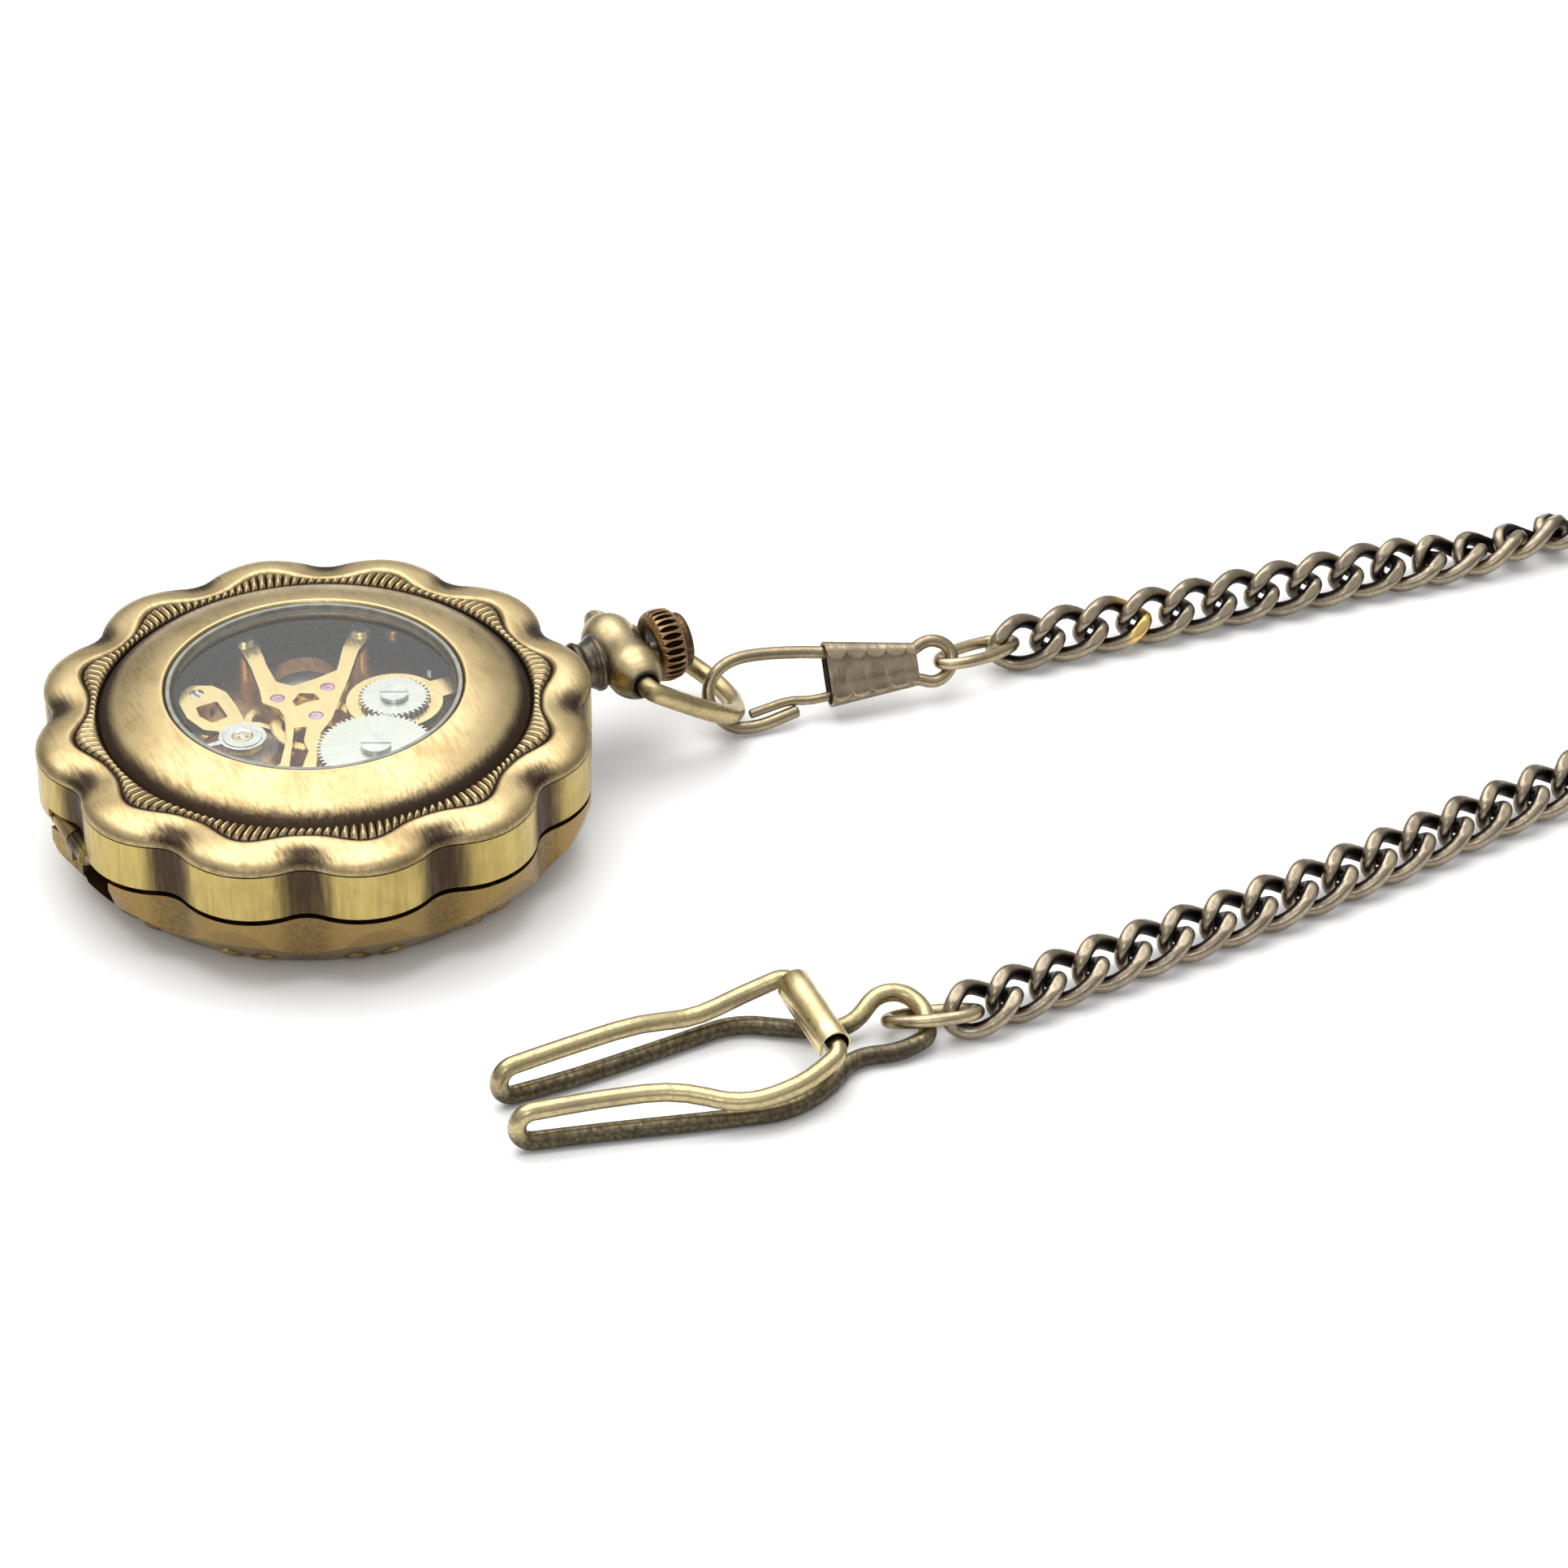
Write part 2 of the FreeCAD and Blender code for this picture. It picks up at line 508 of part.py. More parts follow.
def make_ratchet_wheel():
    return gear(60, 0.15625, *WHEEL_TOP_Z, BARREL_XY, bore=0.85,
                phase=meshed(60, BARREL_XY, 36, CROWN_WHEEL_XY))


def make_ratchet_screw():
    return slotted_screw(1.25, 0.45, 11.4, WHEEL_TOP_Z[1] + 0.02, 13.1, BARREL_XY, 64)


def make_barrel_arbor():
    x, y = BARREL_XY
    profile = [(0, 8.1), (0.6, 8.1), (0.6, 9.35), (0.93, 9.4), (0.93, 9.84), (1.5, 9.86),
               (1.5, 10.56), (0.93, 10.6), (0.93, 12.24), (0.83, 12.26), (0.83, 12.68), (0, 12.68)]
    shaft = turned(profile, BARREL_XY)
    return shaft.cut(cylinder(0.45, 11.4, 13, (x, y)))


def make_barrel():
    """The toothed drum that holds the mainspring, with its lid."""
    teeth = gear(80, 0.161, 9.5, 9.8, BARREL_XY, bore=1.0)
    drum = turned([(0.98, 9.55), (6.0, 9.55), (6.0, 10.85), (1.0, 10.85), (1.0, 10.65), (5.6, 10.65),
                   (5.6, 9.8), (0.98, 9.8)], BARREL_XY)
    return fuse([teeth, drum])


def make_mainspring():
    """The wound spring, as four closed coils hooked on the arbor's side of the drum."""
    return [ring(1.9 + 0.95 * k, 1.62 + 0.95 * k, 9.85, 10.55, BARREL_XY) for k in range(4)]


def make_click():
    arm = plate([(13.3, 5.0), (14.3, 5.5), (14.5, 6.6), (13.4, 6.9), (12.25, 5.1)], 12.26, 12.6, 0.1)
    return fuse([arm, cylinder(0.45, 12.22, 12.8, (13.8, 6.1))])


def make_click_spring():
    return plate([(14.75, 6.3), (14.95, 6.45), (14.3, 8.6), (13.5, 10.0), (13.3, 9.9), (14.05, 8.5)],
                 12.26, 12.45)


def wheel_and_pinion(teeth, module, wheel_z, leaves, leaf_module, pinion_z, xy, span, phase):
    """A train wheel, its pinion and their arbor; phase turns the pinion into mesh."""
    parts = [gear(teeth, module, wheel_z[0], wheel_z[1], xy, crossings=5),
             gear(leaves, leaf_module, pinion_z[0], pinion_z[1], xy, phase=phase),
             cylinder(ARBOR_R, span[0], span[1], xy),
             cylinder(0.34, min(wheel_z[0], pinion_z[0]), max(wheel_z[1], pinion_z[1]), xy)]
    return fuse(parts)


def make_escape_wheel():
    """Fifteen raked teeth on a thin crossed rim."""
    points = []
    for k in range(15):
        points.append(polar(1.28, 24 * k, 10.15))
        points.append(polar(1.72, 24 * k + 9, 10.15))
        points.append(polar(1.72, 24 * k + 11, 10.15))
        points.append(polar(1.28, 24 * k + 13, 10.15))
    rim = Part.Face(Part.makePolygon(points + points[:1])).extrude(Vector(0, 0, 0.15))
    rim = cut(rim, wheel_openings(4, 0.42, 1.0, 10.15, 10.3))
    rim.translate(Vector(ESCAPE_XY[0], ESCAPE_XY[1], 0))
    leaves = gear(8, 0.0727, 9.6, 10.0, ESCAPE_XY, phase=meshed(8, ESCAPE_XY, 80, FOURTH_XY))
    hub = cylinder(0.3, 9.98, 10.4, ESCAPE_XY)
    return fuse([rim, leaves, hub, cylinder(ARBOR_R, 8.2, 10.55, ESCAPE_XY)])


def make_pallet_fork():
    x, y = PALLET_XY
    lever = plate([(x - 0.32, y - 0.25), (x + 1.15, y - 0.12), (x + 1.15, y + 0.2), (x, y + 0.32),
                   (x - 0.25, y + 0.3)], 10.12, 10.32)
    arms = plate([(x - 1.15, y + 0.05), (x + 0.75, y - 0.42), (x + 0.8, y - 0.15), (x, y + 0.2),
                  (x - 1.1, y + 0.3)], 10.12, 10.32)
    return fuse([lever, arms, cylinder(ARBOR_R, 8.2, 10.55, PALLET_XY)])


def make_balance_wheel():
    rim = ring(4.2, 3.65, 10.62, 11.0, BALANCE_XY)
    x, y = BALANCE_XY
    arms = []
    for k in range(3):
        arm = block((0, 3.9), (-0.28, 0.28), (10.7, 10.9))
        arm.rotate(Vector(0, 0, 0), Z_AXIS, 20 + 120 * k)
        arm.translate(Vector(x, y, 0))
        arms.append(arm)
    staff = fuse([cylinder(0.42, 10.5, 11.08, BALANCE_XY), cylinder(ARBOR_R, 8.2, 12.1, BALANCE_XY)])
    return fuse([rim] + arms + [staff])


def make_hairspring():
    """The flat balance spring, as six fine turns above the balance."""
    return [ring(0.72 + 0.3 * k, 0.64 + 0.3 * k, 11.15, 11.35, BALANCE_XY) for k in range(6)]


def make_cannon_pinion():
    leaves = gear(12, 0.125, 7.5, 7.8, (0, 0))
    tube = cylinder(0.42, 5.72, 7.8)
    return fuse([leaves, tube])


def hand(length, width, z0, z1, boss_r, hole_r, degrees):
    """A leaf-shaped hand pointing along +Y, then turned."""
    leaf = plate([(-0.16, 0), (-width / 2, length * 0.62), (0, length), (width / 2, length * 0.62),
                  (0.16, 0)], z0, z1)
    piece = fuse([leaf, cylinder(boss_r, z0, z1)]).cut(cylinder(hole_r, z0 - 1, z1 + 1))
    piece.rotate(Vector(0, 0, 0), Z_AXIS, degrees)
    return piece


def make_hour_wheel():
    phase = meshed(48, (0, 0), 12, MINUTE_WHEEL_XY)
    wheel = gear(48, 0.1, 7.15, 7.4, (0, 0), bore=0.5, phase=phase)
    tube = ring(0.78, 0.5, 6.1, 7.2)
    return fuse([wheel, tube])


def make_minute_wheel():
    wheel = gear(36, 0.125, 7.52, 7.75, MINUTE_WHEEL_XY, phase=meshed(36, MINUTE_WHEEL_XY, 12, (0, 0)))
    pinion = gear(12, 0.1, 7.12, 7.52, MINUTE_WHEEL_XY)
    return fuse([wheel, pinion, cylinder(0.3, 7.1, 7.85, MINUTE_WHEEL_XY)])


# ---- bow, clasp and chain ---------------------------------------------------------------------
def bow_point(x, reach):
    a = math.radians(BOW_TILT_DEG)
    return (x, PENDANT_Y + reach * math.cos(a), STEM_Z + reach * math.sin(a))


def make_bow():
    """An oval wire ring whose two ends turn into the pendant's sockets."""
    w = BOW_HALF_WIDTH
    loop = [(w, BOW_REACH - 0.59 * w), (0.41 * w, BOW_REACH), (-0.41 * w, BOW_REACH),
            (-w, BOW_REACH - 0.59 * w)]
    right = [bow_point(5.7, 0.0), bow_point(6.1, 0.65)] + [bow_point(*spot) for spot in loop]
    left = [bow_point(-6.8, 0.95), bow_point(-5.6, 0.0)]
    ring_wire = bent_wire(right + left, BOW_WIRE)
    pins = [Part.makeCylinder(0.78, 1.85, Vector(side * 3.95, PENDANT_Y, STEM_Z), Vector(side, 0, 0))
            for side in (-1, 1)]
    return fuse([ring_wire] + pins)


CLASP_FOOT = Vector(4.58, 45.3, 1.1)
CLASP_HEADING_DEG = 79.0
CLASP_LEAN_DEG = 35.0


def clasp_point(along, across):
    """A point of the clasp: along its length towards the chain, and up its leaning plane."""
    heading = math.radians(CLASP_HEADING_DEG)
    lean = math.radians(CLASP_LEAN_DEG)
    u = Vector(math.cos(heading), math.sin(heading), 0)
    w = Vector(-u.y * math.sin(lean), u.x * math.sin(lean), math.cos(lean))
    p = CLASP_FOOT + u * along + w * across
    return (p.x, p.y, p.z)


def make_clasp_hook():
    """The hook and, as one wire through the sleeve, the eye that holds the chain's ring."""
    hook = [(-4.3, -0.05), (-6.6, -0.6), (-9.1, -0.4), (-10.7, 1.9), (-10.3, 4.0), (-8.2, 5.5),
            (-4.5, 5.5), (0.6, 4.8), (7.2, 3.55), (9.2, 4.75), (11.1, 3.9), (11.2, 2.1),
            (9.5, 0.75), (7.5, 1.6), (3.0, 1.9)]
    return bent_wire([clasp_point(*p) for p in hook], CLASP_WIRE)


def make_clasp_gate():
    gate = [(2.4, 1.4), (-1.6, 0.9), (-3.6, 1.25), (-5.9, 0.8)]
    return bent_wire([clasp_point(*p) for p in gate], 0.8)


def make_clasp_sleeve():
    """A folded sheet sleeve, open at its mouth, that tapers towards the eye."""
    def section(along, low, high, thick):
        normal = Vector(*clasp_point(0, 1)) - CLASP_FOOT
        heading = Vector(*clasp_point(1, 0)) - CLASP_FOOT
        side = heading.cross(normal) * (thick / 2)
        a, b = Vector(*clasp_point(along, low)), Vector(*clasp_point(along, high))
        bevel = (b - a).normalize() * (thick * 0.3)
        corners = [a + bevel + side, a + side * 0.55, a - side * 0.55, a + bevel - side,
                   b - bevel - side, b - side * 0.55, b + side * 0.55, b - bevel + side]
        return Part.makePolygon(corners + corners[:1])
    outer = Part.makeLoft([section(0.0, 0.0, 5.9, 2.7), section(7.9, 0.75, 4.65, 1.9)], True, True)
    inner = Part.makeLoft([section(-0.01, 0.3, 5.6, 2.1), section(7.0, 1.0, 4.4, 1.35)], True, True)
    upper = bent_wire([clasp_point(5.0, 3.98), clasp_point(7.2, 3.55), clasp_point(9.2, 4.75)],
                      CLASP_WIRE + 0.04, tightest=9)
    lower = bent_wire([clasp_point(5.0, 1.77), clasp_point(7.5, 1.6), clasp_point(9.5, 0.75)],
                      CLASP_WIRE + 0.04)
    return cut(outer, [inner, upper, lower])


def oval_ring(centre, heading_deg, roll_deg, slope_deg, half_length, half_width, wire):
    """A jump ring of oval wire, given its long direction, roll and slope."""
    points = []
    for k in range(12):
        a = math.radians(15 + 30 * k)
        points.append(Vector(half_length * 1.035 * math.cos(a), half_width * 1.035 * math.sin(a), 0))
    turn = (Rotation(Z_AXIS, heading_deg) * Rotation(Vector(0, 1, 0), -slope_deg)
            * Rotation(Vector(1, 0, 0), roll_deg))
    spots = [turn.multVec(p) + Vector(*centre) for p in points]
    return bent_wire([(p.x, p.y, p.z) for p in spots], wire, closed=True)


def chain_route():
    """Centre, heading and roll of every link, walked link by link along the table."""
    rising = [0.0] * 8 + [0.4] * 3 + [0.79] * 3
    bends = rising + [-15.82] * 7 + [-14.84] * 4 + [0.0] * 12 + [-1.0] * 4 + [0.0] * 5
    rolls = [50.0] * 9 + [31.0, 12.0, -8.0] + [-25.0] * (len(bends) + 1 - 12)
    x, y = CHAIN_START
    heading = CHAIN_HEADING_DEG
    links = [(x, y, heading, rolls[0])]
    for bend, roll in zip(bends, rolls[1:]):
        half = polar(CHAIN_PITCH / 2, heading)
        heading += bend
        half += polar(CHAIN_PITCH / 2, heading)
        x, y = x + half.x, y + half.y
        links.append((x, y, heading, roll))
    return links


def make_link():
    """One curb link: an oval of round wire twisted about its length."""
    points = []
    for k in range(14):
        a = 2 * math.pi * (k + 0.5) / 14
        c, s = math.cos(a), math.sin(a)
        along = LINK_HALF_LENGTH * 1.02 * math.copysign(abs(c) ** 0.87, c)
        across = LINK_HALF_WIDTH * 1.02 * math.copysign(abs(s) ** 0.87, s)
        twist = math.radians(LINK_TWIST_DEG) * along / LINK_HALF_LENGTH
        points.append((along, across * math.cos(twist), across * math.sin(twist)))
    return bent_wire(points, CHAIN_WIRE, closed=True)


def link_height(link, roll):
    """Height of a link's centre when it rests on the table at this roll."""
    rolled = link.copy()
    rolled.Placement = Placement(Vector(0, 0, 0), Rotation(Vector(1, 0, 0), roll))
    return 0.02 - rolled.optimalBoundingBox(False, False).ZMin


def place_link(link, step, heights, index):
    """Set one link at its place, sloping with its neighbours' heights."""
    x, y, heading, roll = step
    behind = heights[max(index - 1, 0)]
    ahead = heights[min(index + 1, len(heights) - 1)]
    slope = math.degrees((ahead - behind) / (2 * CHAIN_PITCH))
    turn = (Rotation(Z_AXIS, heading) * Rotation(Vector(0, 1, 0), -slope)
            * Rotation(Vector(1, 0, 0), roll))
    piece = link.copy()
    piece.Placement = Placement(Vector(x, y, heights[index]), turn)
    return piece


def clip_points():
    """The belt clip's wire: eye, two long prongs and the cross bar under the roller."""
    z = CLIP_Z
    return [(45.6, 26.5, z + 0.3), (43.4, 22.8, z), (40.5, 19.0, z), (40.9, 13.0, z), (41.4, 4.5, z),
            (41.2, -1.9, z), (41.2, -1.9, z + 2.8), (40.7, 4.2, z + 2.75), (40.5, 10.6, z + 2.75),
            (40.6, 15.2, z + 1.75), (40.5, 19.4, z + 2.6), (41.1, 23.3, z + 3.75),
            (52.1, 22.5, z + 3.75), (53.0, 19.0, z + 2.6), (52.5, 14.0, z + 1.75),
            (49.5, 9.6, z + 2.75), (47.9, 3.6, z + 2.75), (46.9, -2.9, z + 2.8), (46.9, -2.9, z),
            (48.6, 3.6, z), (50.8, 11.0, z), (52.6, 17.6, z), (51.4, 21.8, z), (48.6, 25.2, z),
            (49.7, 29.0, z + 0.05), (49.4, 31.6, z + 0.4), (46.9, 32.6, z + 1.2),
            (45.0, 31.6, z + 2.0), (44.6, 29.4, z + 2.2)]


def make_clip_wire():
    return bent_wire(clip_points(), CLIP_WIRE, closed=True, tightest=1.0)


def make_clip_roller():
    """The rolled sheet tube that turns on the clip's cross bar, with an open curled seam."""
    a, b = Vector(41.1, 23.3, CLIP_Z + 3.75), Vector(52.1, 22.5, CLIP_Z + 3.75)
    along = (b - a).normalize()
    start = a + along * 1.05
    length = (b - a).Length - 2.1
    tube = Part.makeCylinder(1.35, length, start, along).cut(
        Part.makeCylinder(0.82, length + 2, start - along, along))
    seam = Part.makeBox(length + 2, 0.45, 3.0, Vector(-1, -0.225, -3.0))
    seam.Placement = Placement(start, Rotation(Vector(1, 0, 0), along)).multiply(seam.Placement)
    return tube.cut(seam)


# ---- all nodes ---------------------------------------------------------------------------------
def train_wheels():
    second = wheel_and_pinion(80, 0.0933, (11.12, 11.28), 12, 0.161, (9.5, 9.95), SECOND_XY,
                              (8.2, 12.1), meshed(12, SECOND_XY, 80, BARREL_XY))
    third = wheel_and_pinion(75, 0.1026, (10.3, 10.45), 10, 0.0933, (10.95, 11.4), THIRD_XY,
                             (8.2, 12.1), meshed(10, THIRD_XY, 80, SECOND_XY))
    fourth = wheel_and_pinion(80, 0.0727, (9.78, 9.92), 10, 0.1026, (10.15, 10.6), FOURTH_XY,
                              (8.2, 12.1), meshed(10, FOURTH_XY, 75, THIRD_XY))
    return {"second_wheel": second, "third_wheel": third, "fourth_wheel": fourth}


def chain_nodes():
    link = make_link()
    route = chain_route()
    resting = {roll: link_height(link, roll) for roll in set(step[3] for step in route)}
    heights = [resting[step[3]] for step in route]
    placed = [place_link(link, step, heights, i) for i, step in enumerate(route)]
    return {"chain_on_edge": placed[:9], "chain_upper": placed[9:16],
            "chain_turn": placed[16:26], "chain_lower": placed[26:]}


def all_nodes():
    nodes = {
        "case_band": make_case_band(),
        "back_cover": make_back_cover(),
        "back_crystal": make_back_crystal(),
        "back_crystal_gasket": make_gasket(),
        "front_cover": make_front_cover(),
        "hinge_pin": make_hinge_pin(),
        "lid_spring": make_lid_spring(),
        "lid_catch": make_lid_catch(),
        "front_bezel": make_front_bezel(),
        "front_crystal": make_front_crystal(),
        "dial": make_dial(),
        "movement_ring": make_movement_ring(),
        "case_screws": make_case_screws(),
        "pendant_neck": make_pendant_neck(),
        "pendant_head": make_pendant_head(),
        "crown": make_crown(),
        "winding_stem": make_winding_stem(),
        "winding_pinion": crown_teeth(24, 1.6, 1.85, 7.0, 8.1, 0.55),
        "clutch_wheel": crown_teeth(18, 0.95, 1.15, 5.7, 6.8, 0.55),
        "setting_lever": make_setting_lever(),
        "main_plate": make_main_plate(),
        "train_bridge": make_train_bridge(),
        "barrel_bridge": make_barrel_bridge(),
        "balance_cock": make_balance_cock(),
        "bridge_jewels": make_bridge_jewels(),
        "movement_screws": make_movement_screws(),
        "shock_setting": make_shock_setting(),
        "regulator": make_regulator(),
        "crown_wheel": make_crown_wheel(),
        "ratchet_wheel": make_ratchet_wheel(),
        "ratchet_screw": make_ratchet_screw(),
        "barrel_arbor": make_barrel_arbor(),
        "barrel": make_barrel(),
        "mainspring": make_mainspring(),
        "click": make_click(),
        "click_spring": make_click_spring(),
        "escape_wheel": make_escape_wheel(),
        "pallet_fork": make_pallet_fork(),
        "balance_wheel": make_balance_wheel(),
        "hairspring": make_hairspring(),
        "cannon_pinion": make_cannon_pinion(),
        "minute_hand": hand(14.5, 1.3, 5.8, 5.95, 0.75, 0.42, -60),
        "hour_wheel": make_hour_wheel(),
        "hour_hand": hand(9.5, 1.5, 6.15, 6.3, 1.15, 0.78, 55),
        "minute_wheel": make_minute_wheel(),
        "bow": make_bow(),
        "clasp_hook": make_clasp_hook(),
        "clasp_gate": make_clasp_gate(),
        "clasp_sleeve": make_clasp_sleeve(),
        "clasp_ring": oval_ring((4.62, 59.17, 2.89), 104.4, -15.5, -7.7, 4.06, 1.9, CLASP_WIRE),
        "clip_ring": oval_ring((47.85, 32.78, 1.84), 66.0, -26.4, 5.7, 3.63, 1.95, CLASP_WIRE),
        "clip_wire": make_clip_wire(),
        "clip_roller": make_clip_roller(),
    }
    nodes.update(train_wheels())
    nodes.update(chain_nodes())
    return nodes


def main():
    os.makedirs("parts", exist_ok=True)
    for name, shape in all_nodes().items():
        if isinstance(shape, list):
            shape = Part.makeCompound(shape)
        bad = [s for s in shape.Solids if not s.isValid()]
        box = shape.BoundBox
        print("%-20s solids %2d volume %9.3f z %6.2f..%5.2f%s" % (
            name, len(shape.Solids), shape.Volume, box.ZMin, box.ZMax, "  INVALID" if bad else ""))
        shape.exportStep("parts/%s.step" % name)


main()
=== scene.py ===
import math

import bpy
import numpy as np
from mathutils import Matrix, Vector


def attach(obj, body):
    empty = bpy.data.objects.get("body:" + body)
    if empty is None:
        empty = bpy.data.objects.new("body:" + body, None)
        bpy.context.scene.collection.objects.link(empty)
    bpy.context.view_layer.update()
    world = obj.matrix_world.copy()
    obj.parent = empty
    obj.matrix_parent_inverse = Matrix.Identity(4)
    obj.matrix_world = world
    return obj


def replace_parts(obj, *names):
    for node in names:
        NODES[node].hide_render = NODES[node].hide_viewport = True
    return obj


# Looks for the hunter-case pocket watch with its chain and belt clip. Lengths of the object
# are in millimetres in the row frame and become metres where a mesh is made. Camera, floor,
# lights and material scales are in metres.

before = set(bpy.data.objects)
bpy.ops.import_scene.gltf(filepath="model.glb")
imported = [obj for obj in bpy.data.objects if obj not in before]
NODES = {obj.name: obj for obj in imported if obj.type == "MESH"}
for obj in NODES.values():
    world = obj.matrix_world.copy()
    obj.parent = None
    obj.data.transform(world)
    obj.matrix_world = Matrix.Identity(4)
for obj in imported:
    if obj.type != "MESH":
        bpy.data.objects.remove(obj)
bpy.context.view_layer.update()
MM = 0.001
TAU = 2 * math.pi

# ---- sizes shared with the CAD part --------------------------------------------------------
LOBE_COUNT = 12
LOBE_PEAK_R = 23.3
LOBE_VALLEY_R = 21.75
VALLEY_FILLET_R = 3.0
FIRST_LOBE = math.radians(80.2)
STEM_Z = 8.95
PENDANT_Y = 27.7
CROWN_Y = 30.3
CLASP_FOOT = np.array([4.58, 45.3, 1.1])
CLASP_HEADING = math.radians(79.0)
CLASP_LEAN = math.radians(35.0)
CHAIN_PITCH = 4.06
DIAL_FACE_Z = 6.66
BOW_DROOP = math.radians(-35.0)
BOW_HALF_WIDTH = 5.6
BOW_REACH = 12.1
CLIP_WIRE_R = 0.75
ROLLER_ENDS = ((41.1, 23.3, 4.5), (52.1, 22.5, 4.5))
BALANCE_XY = (1.90, -7.18)
CROWN_WHEEL_XY = (2.27, 6.13)
RATCHET_XY = (8.46, 1.89)
BRIDGE_JEWELS_XY = ((1.44, -0.50), (-2.01, 1.93), (-2.27, -2.42))


# ---- meshes -----------------------------------------------------------------------------------
def piece(name, points, faces, body, look, marks=None, smooth=True):
    """A mesh piece in the row frame (millimetres in), riding on a body."""
    mesh = bpy.data.meshes.new(name)
    mesh.from_pydata((np.asarray(points, float) * MM).tolist(), [], np.asarray(faces).tolist())
    for key, values in (marks or {}).items():
        layer = mesh.attributes.new(key, "FLOAT", "POINT")
        layer.data.foreach_set("value", np.asarray(values, np.float32).ravel())
    mesh.polygons.foreach_set("use_smooth", [smooth] * len(mesh.polygons))
    mesh.materials.append(look)
    obj = bpy.data.objects.new(name, mesh)
    bpy.context.scene.collection.objects.link(obj)
    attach(obj, body)
    return obj


def grid_faces(rows, columns, wrap_rows, wrap_columns, start=0):
    """Quads between neighbouring rows and columns of a grid of points."""
    i = np.arange(rows if wrap_rows else rows - 1)
    j = np.arange(columns if wrap_columns else columns - 1)
    i, j = np.meshgrid(i, j, indexing="ij")
    i2, j2 = (i + 1) % rows, (j + 1) % columns
    quads = np.stack([i * columns + j, i * columns + j2, i2 * columns + j2, i2 * columns + j], -1)
    return quads.reshape(-1, 4) + start


def smooth_path(points, closed=False, per=14):
    """A quadratic B-spline through its control polygon: straight runs with soft bends."""
    p = np.asarray(points, float)
    if not closed:
        p = np.vstack([2 * p[0] - p[1], p, 2 * p[-1] - p[-2]])
        p[0], p[-1] = 2 * p[1] - p[2], 2 * p[-2] - p[-3]
    count = len(p)
    spans = range(count) if closed else range(1, count - 1)
    t = np.linspace(0, 1, per, endpoint=False)[:, None]
    out = []
    for i in spans:
        a = (p[i - 1] + p[i]) / 2
        b = (p[i] + p[(i + 1) % count]) / 2
        out.append((1 - t) ** 2 * a + 2 * t * (1 - t) * p[i] + t ** 2 * b)
    path = np.vstack(out)
    if not closed:
        path = np.vstack([path, (p[-2] + p[-1]) / 2])
    return path


def sweep(path, radius, closed=False, sides=20):
    """Points of a round tube along a path, on frames carried without twisting."""
    path = np.asarray(path, float)
    ahead = np.roll(path, -1, 0) - path
    behind = path - np.roll(path, 1, 0)
    tangent = ahead + behind
    if not closed:
        tangent[0], tangent[-1] = ahead[0], behind[-1]
    tangent /= np.linalg.norm(tangent, axis=1)[:, None]
    seed = np.cross(tangent[0], [0.0, 0.0, 1.0])
    if np.linalg.norm(seed) < 0.1:
        seed = np.cross(tangent[0], [0.0, 1.0, 0.0])
    normals = [seed / np.linalg.norm(seed)]
    for t in tangent[1:]:
        n = normals[-1] - t * (normals[-1] @ t)
        normals.append(n / np.linalg.norm(n))
    normals = np.array(normals)
    if closed:
        t = tangent[0]
        back = normals[-1] - t * (normals[-1] @ t)
        slip = math.atan2(np.cross(normals[0], back) @ t, normals[0] @ back)
        angles = -slip * np.arange(len(path)) / len(path)
        side = np.cross(tangent, normals)
        normals = normals * np.cos(angles)[:, None] + side * np.sin(angles)[:, None]
    side = np.cross(tangent, normals)
    turn = np.linspace(0, TAU, sides, endpoint=False)
    radius = np.broadcast_to(np.asarray(radius, float), (len(path),))
    ring = (normals[:, None, :] * np.cos(turn)[None, :, None]
            + side[:, None, :] * np.sin(turn)[None, :, None])
    return path[:, None, :] + ring * radius[:, None, None]


def wire(name, path, radius, body, look, closed=False, sides=20, marks=None):
    """A smooth wire piece; open ends are rounded off."""
    path = np.asarray(path, float)
    radii = np.full(len(path), float(radius))
    if not closed:
        heads = []
        for end, inner in ((path[0], path[1]), (path[-1], path[-2])):
            out = (end - inner) / np.linalg.norm(end - inner)
            heads.append([end + out * radius * 0.5 * s for s in (1.0, 0.92, 0.7, 0.35)])
        path = np.vstack([heads[0], path, heads[1][::-1]])
        cap = np.array([0.02, 0.4, 0.72, 0.94]) * radius
        radii = np.concatenate([cap, radii, cap[::-1]])
    tube = sweep(path, radii, closed, sides)
    faces = grid_faces(len(path), sides, closed, True)
    points = tube.reshape(-1, 3)
    values = {}
    for key, value in (marks or {}).items():
        values[key] = value(points)
    return piece(name, points, faces, body, look, values)


